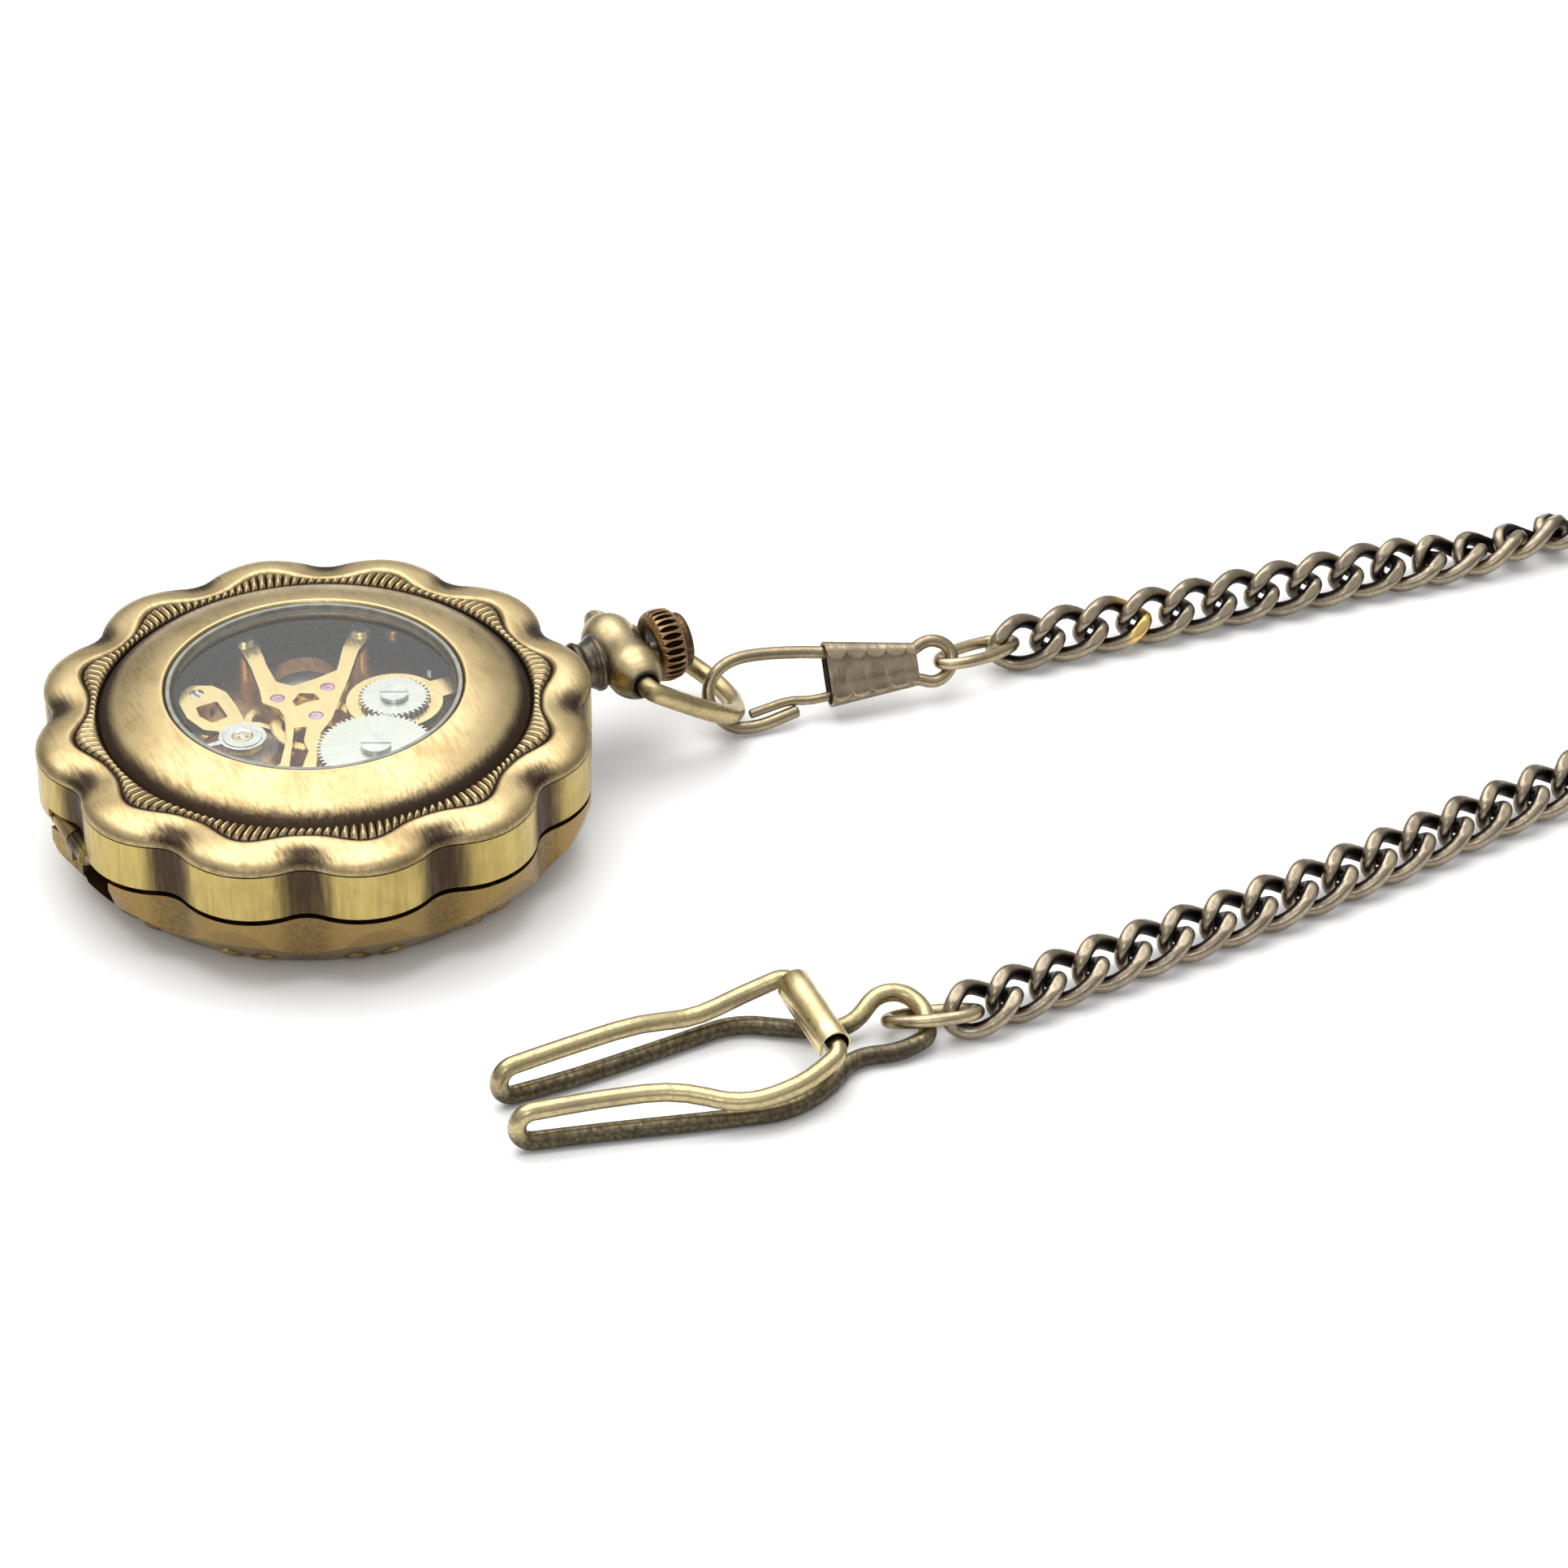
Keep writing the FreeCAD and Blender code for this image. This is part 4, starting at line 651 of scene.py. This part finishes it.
def make_pendant_head():
    """The smooth cross barrel of the pendant, a little waisted, hollowed where the bow enters."""
    half = [(2.26, 0.0), (2.27, 0.4), (2.30, 0.9), (2.34, 1.4), (2.38, 1.9), (2.4, 2.4), (2.37, 2.9),
            (2.26, 3.3), (2.1, 3.7), (1.9, 4.05), (1.67, 4.4), (1.45, 4.68), (1.28, 4.86), (1.12, 4.93),
            (0.97, 4.88), (0.9, 4.7), (0.88, 4.1), (0.3, 4.0)]
    # Painted shade in the hollowed ends where the bow enters.
    dark = [0.0] * 9 + [0.1, 0.25, 0.45, 0.7, 0.9] + [1.0] * 4
    profile = [(r, x) for r, x in half[::-1]] + [(r, -x) for r, x in half[1:]]
    marks = dark[::-1] + dark[1:]
    turn = np.linspace(0, TAU, 96, endpoint=False)
    rows = [np.stack([np.full_like(turn, x), PENDANT_Y + r * np.cos(turn), STEM_Z + r * np.sin(turn)], -1)
            for r, x in profile]
    points = np.array(rows)
    shade = np.repeat(np.array(marks), len(turn)).reshape(len(rows), -1)
    # Painted shade on the underside of the barrel and where it meets the case.
    painted_shade_beneath = 0.85 * smoothstep(STEM_Z - points[:, :, 2], -0.2, 1.9)
    root = 0.6 * smoothstep(PENDANT_Y - points[:, :, 1], 1.2, 2.2) * (np.abs(points[:, :, 0]) < 3.0)
    recess = np.clip(np.maximum(shade, np.maximum(painted_shade_beneath, root)), 0, 1)
    head = piece("pendant_head_barrel", points.reshape(-1, 3), grid_faces(len(rows), 96, True, True),
                 "case", LOOKS["head"], {"recess": recess})
    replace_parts(head, "pendant_head")


def make_pendant_neck():
    """The dark turned collar between case and pendant, with a bead at each end."""
    profile = [(0.7, 22.9), (1.66, 22.9), (1.68, 23.15), (1.95, 23.2), (2.12, 23.32), (2.18, 23.5),
               (2.14, 23.68), (2.02, 23.85), (1.94, 24.0), (1.92, 24.2), (1.98, 24.45), (2.12, 24.68),
               (2.24, 24.85), (2.26, 24.92), (2.34, 25.0), (2.43, 25.12), (2.45, 25.3), (2.42, 25.48),
               (2.3, 25.6), (1.62, 25.62), (1.55, 25.7), (0.7, 25.7)]
    turn = np.linspace(0, TAU, 96, endpoint=False)
    rows = [np.stack([r * np.cos(turn), np.full_like(turn, y), STEM_Z + r * np.sin(turn)], -1)
            for r, y in profile]
    # Painted highlight on the collar's beads, the rings wider than 2.1 mm.
    painted_highlight = np.repeat([0.35 * (2.1 < r) for r, _ in profile], len(turn))
    neck = piece("pendant_neck_collar", np.array(rows).reshape(-1, 3),
                 grid_faces(len(rows), 96, True, True), "case", LOOKS["neck"],
                 {"edge": painted_highlight})
    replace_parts(neck, "pendant_neck")


def bow_point(x, reach):
    """A point of the bow's plane, which droops from the pendant's cross axis."""
    return (x, PENDANT_Y + reach * math.cos(BOW_DROOP), STEM_Z + reach * math.sin(BOW_DROOP))


def make_bow():
    """One oval wire whose ends turn into the pendant head's sockets."""
    w, reach = BOW_HALF_WIDTH, BOW_REACH
    near = [(3.98, 0.0), (5.2, 0.0), (5.7, 0.1), (6.05, 0.75)]
    loop = [(w, reach - 0.59 * w), (0.41 * w, reach), (-0.41 * w, reach), (-w, reach - 0.59 * w)]
    far = [(-6.75, 1.0), (-6.3, 0.3), (-5.2, 0.0), (-3.98, 0.0)]
    path = smooth_path([bow_point(*spot) for spot in near + loop + far])
    along = np.abs(path[:, 0])
    radii = 0.78 + 0.07 * smoothstep(np.where(path[:, 1] > PENDANT_Y + 0.6, 9, along), 4.0, 5.2)
    tube = sweep(path, radii, False, 24)
    points = tube.reshape(-1, 3)
    # Painted shade on the wire where it runs into the pendant head's sockets.
    dark = 0.5 * (1 - smoothstep(points[:, 1], PENDANT_Y - 0.3, PENDANT_Y + 0.8))
    bow = piece("bow_wire", points, grid_faces(len(path), 24, False, True), "bow",
                LOOKS["bow"], {"recess": dark})
    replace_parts(bow, "bow")


# ---- clasp ---------------------------------------------------------------------------------------
def clasp_axes():
    """Unit vectors of the clasp: along it, across its wire plane, and out of that plane."""
    u = np.array([math.cos(CLASP_HEADING), math.sin(CLASP_HEADING), 0.0])
    w = np.array([-u[1] * math.sin(CLASP_LEAN), u[0] * math.sin(CLASP_LEAN), math.cos(CLASP_LEAN)])
    return u, w, np.cross(u, w)


def clasp_point(along, across, side=0.0):
    u, w, n = clasp_axes()
    return CLASP_FOOT + u * along + w * across + n * side


def make_clasp():
    """The hook's one bent wire and the short sprung gate that closes it."""
    hook = [(-4.3, -0.05), (-6.6, -0.6), (-9.1, -0.4), (-10.7, 1.9), (-10.3, 4.0), (-8.2, 5.5),
            (-4.5, 5.5), (0.6, 4.8), (7.2, 3.55), (9.2, 4.75), (11.1, 3.9), (11.2, 2.1),
            (9.5, 0.75), (7.5, 1.6), (3.0, 1.9)]
    gate = [(2.4, 1.4), (-1.6, 0.9), (-3.6, 1.25), (-5.9, 0.8)]
    path = smooth_path([clasp_point(*p) for p in hook])
    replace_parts(wire("clasp_hook_wire", path, 0.55, "clasp", LOOKS["hook"]), "clasp_hook")
    path = smooth_path([clasp_point(*p) for p in gate])
    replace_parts(wire("clasp_gate_wire", path, 0.4, "clasp_gate", LOOKS["hook"]),
                "clasp_gate")


def make_sleeve():
    """The folded sheet sleeve, embossed with rows of scales, with painted shade inside its mouth."""
    around = np.linspace(0, TAU, 192, endpoint=False)
    c, s = np.cos(around), np.sin(around)
    flat = np.stack([np.sign(s) * np.abs(s) ** 0.75, np.sign(c) * np.abs(c) ** 0.42], -1)
    rows, recess, edge = [], [], []

    def add(along, grow, dark, lifted):
        t = along / 7.9
        low, high, thick = 0.75 * t, 5.9 - 1.25 * t, 2.7 - 0.8 * t
        half = (high - low) / 2 - grow
        side = flat[:, 0] * (thick / 2 - grow)
        across = (low + high) / 2 + flat[:, 1] * half
        spots = np.array([clasp_point(along, a, b) for a, b in zip(across, side)])
        n = clasp_axes()[2]
        tooth = scales(along, across, low, high) * lifted
        spots += (n * (np.sign(side) * np.clip(np.abs(side) * 3, 0, 1) * 0.15 * tooth)[:, None])
        rows.append(spots)
        # Painted shade where one scale tucks under the next; the lips brighten (wear and painted
        # highlight).
        recess.append(np.clip(dark + (1 - tooth) ** 2 * 1.1 * lifted, 0, 1))
        edge.append(tooth * 0.45 * lifted)

    for t in np.linspace(0, 1, 110):
        add(7.85 * t, 0.10, 0.12, 1.0)
    # Rows inside the mouth, darkened with painted shade.
    for along, grow, dark in ((7.9, 0.25, 0.4), (7.2, 0.40, 1.0), (4.0, 0.38, 1.0), (0.3, 0.36, 1.0),
                              (0.0, 0.34, 0.8), (-0.03, 0.22, 0.1)):
        add(along, grow, dark, 0.0)
    points = np.array(rows).reshape(-1, 3)
    faces = grid_faces(len(rows), len(around), True, True)
    sleeve = piece("clasp_sleeve_embossed", points, faces, "clasp", LOOKS["sleeve"],
                   {"recess": np.array(recess), "edge": np.array(edge)})
    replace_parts(sleeve, "clasp_sleeve")


def scales(along, across, low, high):
    """Height of overlapping rows of round scales: low where one tucks under, 1 at its lip."""
    fall = (high - across) / (high - low)
    relief = np.zeros_like(across)
    for row in (3, 2, 1, 0):
        u = ((along / 1.75 + 0.5 * (row % 2)) % 1.0 - 0.5) * 2
        lip = (row + 0.5 + 0.55 * np.sqrt(1 - 0.97 * u ** 2)) / 3.2
        top = row / 3.2 - 0.22
        rise = np.clip((fall - top) / (lip - top), 0, 1)
        height = (0.30 + 0.70 * rise ** 1.6) * smoothstep(lip - fall, 0.0, 0.025)
        relief = np.where(fall < lip, np.maximum(height, relief * (rise > 0.97)), relief)
    return relief


def oval_path(centre, heading, roll, slope, half_length, half_width):
    """A closed oval about a centre, turned into place (angles in degrees)."""
    t = np.linspace(0, TAU, 120, endpoint=False)
    flat = np.stack([half_length * np.cos(t), half_width * np.sin(t), 0 * t], -1)
    return turned(flat, heading, roll, slope) + np.array(centre)


def turned(points, heading, roll, slope):
    """Roll about the length, tip up by the slope, then turn to the heading (degrees)."""
    h, r, p = math.radians(heading), math.radians(roll), -math.radians(slope)
    about_x = np.array([[1, 0, 0], [0, math.cos(r), -math.sin(r)], [0, math.sin(r), math.cos(r)]])
    about_y = np.array([[math.cos(p), 0, math.sin(p)], [0, 1, 0], [-math.sin(p), 0, math.cos(p)]])
    about_z = np.array([[math.cos(h), -math.sin(h), 0], [math.sin(h), math.cos(h), 0], [0, 0, 1]])
    return points @ (about_z @ about_y @ about_x).T


def make_rings():
    """The two oval rings that join the clasp and the clip to the chain."""
    ring = wire("clasp_ring_wire", oval_path((4.62, 59.17, 2.89), 104.4, -15.5, -7.7, 4.06, 1.9), 0.52,
                "clasp_ring", LOOKS["ring"], True)
    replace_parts(ring, "clasp_ring")
    ring = wire("clip_ring_wire", oval_path((47.85, 32.78, 1.84), 66.0, -26.4, 5.7, 3.63, 1.95), 0.55,
                "clip_ring", LOOKS["ring"], True)
    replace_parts(ring, "clip_ring")


# ---- chain ---------------------------------------------------------------------------------------
LINK_HALF = (3.0, 1.85)
LINK_TWIST = math.radians(-62.0)
LINK_WIRE = 1.3
# Index of the link that carries a painted gold glint.
GLINT_LINK = 2


def link_mesh():
    """One twisted curb link: tube points, how far each faces inward, and its filed facets."""
    t = np.linspace(0, TAU, 112, endpoint=False)
    c, s = np.cos(t), np.sin(t)
    along = LINK_HALF[0] * np.sign(c) * np.abs(c) ** 0.87
    across = LINK_HALF[1] * np.sign(s) * np.abs(s) ** 0.87
    twist = LINK_TWIST * along / LINK_HALF[0]
    path = np.stack([along, across * np.cos(twist), across * np.sin(twist)], -1)
    for _ in range(3):
        path = 0.5 * path + 0.25 * (np.roll(path, 1, 0) + np.roll(path, -1, 0))
    tube = sweep(path, LINK_WIRE / 2, True, 22)
    inward = -np.einsum("ijk,ijk->ij", tube - path[:, None], path[:, None]
                        / np.linalg.norm(path[:, None], axis=2, keepdims=True)) / (LINK_WIRE / 2)
    points = tube.reshape(-1, 3)
    top = np.abs(points[:, 2]).max() - 0.17
    facet = smoothstep(np.abs(points[:, 2]), top - 0.06, top + 0.02)
    points[:, 2] = np.clip(points[:, 2], -top, top)
    return points, inward.ravel(), facet, grid_faces(len(path), 22, True, True)


def chain_route():
    """Centre, heading and roll of every link, as in the CAD part."""
    rising = [0.0] * 8 + [0.4] * 3 + [0.79] * 3
    bends = rising + [-15.82] * 7 + [-14.84] * 4 + [0.0] * 12 + [-1.0] * 4 + [0.0] * 5
    rolls = [50.0] * 9 + [31.0, 12.0, -8.0] + [-25.0] * (len(bends) + 1 - 12)
    x, y, heading = 4.3, 64.1, 84.4
    steps = [(x, y, heading, rolls[0])]
    for bend, roll in zip(bends, rolls[1:]):
        for turn in (0.0, bend):
            heading += turn
            x += CHAIN_PITCH / 2 * math.cos(math.radians(heading))
            y += CHAIN_PITCH / 2 * math.sin(math.radians(heading))
        steps.append((x, y, heading, roll))
    return steps


def make_chain():
    points, inward, facet, faces = link_mesh()
    steps = chain_route()
    heights = [0.02 - turned(points, 0, step[3], 0)[:, 2].min() for step in steps]
    stretches = (("chain_on_edge", 0, 9), ("chain_upper", 9, 16), ("chain_turn", 16, 26),
                 ("chain_lower", 26, len(steps)))
    for name, first, last in stretches:
        spots, quads = [], []
        for k in range(first, last):
            x, y, heading, roll = steps[k]
            behind, ahead = heights[max(k - 1, 0)], heights[min(k + 1, len(steps) - 1)]
            slope = math.degrees((ahead - behind) / (2 * CHAIN_PITCH))
            spots.append(turned(points, heading, roll, slope) + np.array([x, y, heights[k]]))
            quads.append(faces + len(points) * (k - first))
        count = last - first
        # Painted shade on the inward faces of the links, where they hold each other.
        dark = np.tile(0.95 * smoothstep(inward, -0.15, 0.55) * (1 - facet), count)
        # Painted gold glint on one end of one link.
        painted_glint = np.zeros((count, len(points)))
        if first <= GLINT_LINK < last:
            painted_glint[GLINT_LINK - first] = 0.9 * smoothstep(points[:, 0], 0.4, 1.6)
        # The edge mark brightens the filed facets: wear and painted highlight.
        links = piece(name + "_links", np.vstack(spots), np.vstack(quads), name,
                      LOOKS["chain"],
                      {"recess": dark, "edge": np.tile(facet * 0.55, count), "tint": painted_glint})
        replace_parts(links, name)


# ---- belt clip -----------------------------------------------------------------------------------
def make_clip():
    """The belt clip: one closed wire, two hairpin legs below and above, and a loop for its ring."""
    z = CLIP_WIRE_R
    spots = [(45.6, 26.5, z + 0.3), (43.4, 22.8, z), (40.5, 19.0, z), (40.9, 13.0, z), (41.4, 4.5, z),
             (41.2, -1.9, z), (41.2, -1.9, z + 2.8), (40.7, 4.2, z + 2.75), (40.5, 10.6, z + 2.75),
             (40.6, 15.2, z + 1.75), (40.5, 19.4, z + 2.6), (41.1, 23.3, z + 3.75),
             (52.1, 22.5, z + 3.75), (53.0, 19.0, z + 2.6), (52.5, 14.0, z + 1.75),
             (49.5, 9.6, z + 2.75), (47.9, 3.6, z + 2.75), (46.9, -2.9, z + 2.8), (46.9, -2.9, z),
             (48.6, 3.6, z), (50.8, 11.0, z), (52.6, 17.6, z), (51.4, 21.8, z), (48.6, 25.2, z),
             (49.7, 29.0, z + 0.05), (49.4, 31.6, z + 0.4), (46.9, 32.6, z + 1.2),
             (45.0, 31.6, z + 2.0), (44.6, 29.4, z + 2.2)]
    path = bent_path(spots, 1.3)
    # Painted shade on the lower wires, near the floor and under the upper ones.
    under = {"recess": lambda p: 0.72 * (1 - smoothstep(p[:, 2], 0.9, 3.2))}
    clip = wire("clip_wire_bent", path, CLIP_WIRE_R, "clip", LOOKS["clip"], True, 24, under)
    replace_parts(clip, "clip_wire")


def make_roller():
    """A strip rolled round the clip's cross bar, its outer edge left as a short straight lip."""
    a, b = np.array(ROLLER_ENDS)
    length = np.linalg.norm(b - a)
    along = (b - a) / length
    up = np.array([0.0, 0.0, 1.0])
    out = np.cross(up, along) * -1
    bend, half = 1.20, 0.11
    turn = np.radians(np.linspace(100, -195, 60))
    spine = np.stack([bend * np.sin(turn), bend * np.cos(turn)], -1)
    lip = np.array([[1.26, -0.68], [1.25, -0.5], [1.21, -0.35]])
    spine = np.vstack([lip, spine])
    ahead = np.gradient(spine, axis=0)
    ahead /= np.linalg.norm(ahead, axis=1)[:, None]
    normal = np.stack([-ahead[:, 1], ahead[:, 0]], -1)
    loop = np.vstack([spine + normal * half, (spine - normal * half)[::-1]])
    middle = np.vstack([spine, spine[::-1]])
    inner = np.linalg.norm(loop, axis=1) < bend
    rows, recess, edge = [], [], []
    ends = 1.05
    for t, thin in ((0.0, 1.0), (0.004, 0.45), (0.012, 0.0), (0.2, 0.0), (0.4, 0.0), (0.6, 0.0),
                    (0.8, 0.0), (0.988, 0.0), (0.996, 0.45), (1.0, 1.0)):
        flat = loop * (1 - thin) + middle * thin
        place = a + along * (ends + (length - 2 * ends) * t)
        rows.append(place + flat[:, :1] * out + flat[:, 1:] * up)
        # Painted shade on the inside of the roll; its end edges brighten (wear and painted highlight).
        recess.append(np.where(inner, 0.95, 0.0))
        edge.append(np.full(len(loop), 0.8 * (thin > 0)))
    faces = grid_faces(len(rows), len(loop), False, True)
    roller = piece("clip_roller_sheet", np.array(rows).reshape(-1, 3), faces, "clip_roller",
                   LOOKS["roller"], {"recess": np.array(recess), "edge": np.array(edge)})
    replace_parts(roller, "clip_roller")


def bent_path(points, tightest):
    """A closed path of straight runs and tangent arcs, sharp turns no wider than asked."""
    p = np.asarray(points, float)
    count = len(p)
    out = []
    for i in range(count):
        here, into, onward = p[i], p[i] - p[i - 1], p[(i + 1) % count] - p[i]
        run = min(np.linalg.norm(into), np.linalg.norm(onward))
        into, onward = into / np.linalg.norm(into), onward / np.linalg.norm(onward)
        turn = math.acos(max(-1.0, min(1.0, float(into @ onward))))
        if turn < 0.01:
            out.append(here[None])
            continue
        radius = 0.47 * run / math.tan(turn / 2)
        if turn > 1.0:
            radius = min(radius, tightest)
        axis = np.cross(into, onward)
        axis /= np.linalg.norm(axis)
        start = here - into * radius * math.tan(turn / 2)
        centre = start + np.cross(axis, into) * radius
        a = np.linspace(0, turn, max(3, int(turn / 0.09)))[:, None]
        out.append(centre + (start - centre) * np.cos(a) + np.cross(axis, start - centre) * np.sin(a))
    joined = np.vstack(out)
    gaps = np.linalg.norm(np.roll(joined, -1, 0) - joined, axis=1)
    fine = [joined[i] + (joined[(i + 1) % len(joined)] - joined[i]) * t
            for i in range(len(joined)) for t in np.arange(0, 1, 1 / max(1, round(gaps[i] / 0.5)))]
    return np.array(fine)


# ---- movement details ----------------------------------------------------------------------------
def lathe(name, profile, xy, body, look):
    """A turned piece about a vertical axis; profile is (radius, height) pairs, closed."""
    theta = np.linspace(0, TAU, 72, endpoint=False)
    rows = [ring_points(theta, r, z) + np.array([xy[0], xy[1], 0]) for r, z in profile]
    faces = grid_faces(len(rows), len(theta), True, True)
    return piece(name, np.array(rows).reshape(-1, 3), faces, body, look)


def make_dial_markers():
    """Thirteen raised tapered batons round the dial: one an hour, two at twelve o'clock."""
    points, faces = [], []
    outline = np.array([(15.0, -0.32), (17.2, -0.46), (17.35, 0.0),
                        (17.2, 0.46), (15.0, 0.32), (14.85, 0.0)])
    hours = [math.radians(90 + 30 * k) for k in range(1, 12)]
    hours += [math.radians(90 - 2.6), math.radians(90 + 2.6)]
    for angle in hours:
        start = len(points)
        for grow, z in ((0.0, DIAL_FACE_Z), (0.0, DIAL_FACE_Z - 0.07), (-0.12, DIAL_FACE_Z - 0.11)):
            for r, side in outline:
                r, side = r - grow * np.sign(16.0 - r), side * (1 + grow * 2)
                points.append((r * math.cos(angle) - side * math.sin(angle),
                               r * math.sin(angle) + side * math.cos(angle), z))
        for level in (0, 1):
            for i in range(6):
                a, b = start + level * 6 + i, start + level * 6 + (i + 1) % 6
                faces.append((a, b, b + 6, a + 6))
        faces += [(start + 12, start + 13, start + 14, start + 15),
                  (start + 15, start + 16, start + 17, start + 12)]
    piece("dial_markers", points, faces, "case", LOOKS["ink"], smooth=False)


def make_movement_details():
    """Domed jewels in the bridges, the hairspring's spiral and the shock setting's spring."""
    dome = [(0.10, 11.7), (0.10, 12.10), (0.14, 12.17), (0.26, 12.19), (0.44, 12.185), (0.56, 12.14),
            (0.61, 12.05), (0.61, 11.7)]
    for k, xy in enumerate(BRIDGE_JEWELS_XY):
        jewel = lathe("bridge_jewel_%d" % k, dome, xy, "case", LOOKS["ruby"])
        if k == 0:
            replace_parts(jewel, "bridge_jewels")
    t = np.linspace(0, 1, 900)
    turn = TAU * 11.5 * t
    radius = 0.62 + 2.2 * t
    coil = np.stack([BALANCE_XY[0] + radius * np.cos(turn), BALANCE_XY[1] + radius * np.sin(turn),
                     np.full_like(t, 11.25)], -1)
    spiral = sweep(coil, 0.035, False, 6)
    spring = piece("hairspring_spiral", spiral.reshape(-1, 3), grid_faces(len(coil), 6, False, True),
                   "balance", LOOKS["steel"])
    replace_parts(spring, "hairspring")
    lyre = [(-0.62, 0.0), (-0.62, 0.34), (-0.42, 0.6), (-0.16, 0.62), (-0.16, 0.25), (0.16, 0.25),
            (0.16, 0.62), (0.42, 0.6), (0.62, 0.34), (0.62, 0.0), (0.62, -0.34), (0.42, -0.6),
            (0.16, -0.62), (0.16, -0.25), (-0.16, -0.25), (-0.16, -0.62), (-0.42, -0.6), (-0.62, -0.34)]
    path = smooth_path([(BALANCE_XY[0] + x, BALANCE_XY[1] + y, 12.47) for x, y in lyre], True, 6)
    wire("shock_lyre_spring", path, 0.045, "case", LOOKS["gilt"], True, 10)


make_back_shell()
make_rope()
make_lid_relief()
make_pendant_head()
make_pendant_neck()
make_crown()
make_bow()
make_clasp()
make_sleeve()
make_rings()
make_chain()
make_clip()
make_roller()
make_dial_markers()
make_movement_details()


# ---- CAD nodes that stay: finish for each ----------------------------------------------------------
NODE_LOOKS = {
    "case_band": "band", "front_cover": "lid", "back_cover": "case", "front_bezel": "lid",
    "pendant_head": "head", "pendant_neck": "neck", "bow": "bow", "crown": "crown",
    "back_crystal": "glass", "front_crystal": "glass", "back_crystal_gasket": "gasket",
    "dial": "enamel", "main_plate": "copper", "movement_ring": "copper", "train_bridge": "gilt",
    "barrel_bridge": "gilt", "balance_cock": "gilt", "bridge_jewels": "ruby",
    "crown_wheel": "crown_wheel", "ratchet_wheel": "ratchet", "barrel": "copper",
    "mainspring": "dark_steel", "second_wheel": "gilt_wheel", "third_wheel": "gilt_wheel",
    "fourth_wheel": "gilt_wheel", "balance_wheel": "gilt_wheel", "hour_wheel": "gilt_wheel",
    "minute_wheel": "gilt_wheel", "minute_hand": "blued", "hour_hand": "blued",
    "clasp_hook": "chain", "clasp_gate": "chain", "clasp_sleeve": "chain", "clasp_ring": "chain",
    "chain_on_edge": "chain", "chain_upper": "chain", "chain_turn": "chain", "chain_lower": "chain",
    "clip_ring": "chain", "clip_wire": "clip", "clip_roller": "clip", "click_spring": "steel",
}


def dress_nodes():
    """Give every CAD node its finish; small parts not listed above are steel."""
    for name, obj in NODES.items():
        obj.data.materials.clear()
        obj.data.materials.append(LOOKS[NODE_LOOKS.get(name, "steel")])


dress_nodes()
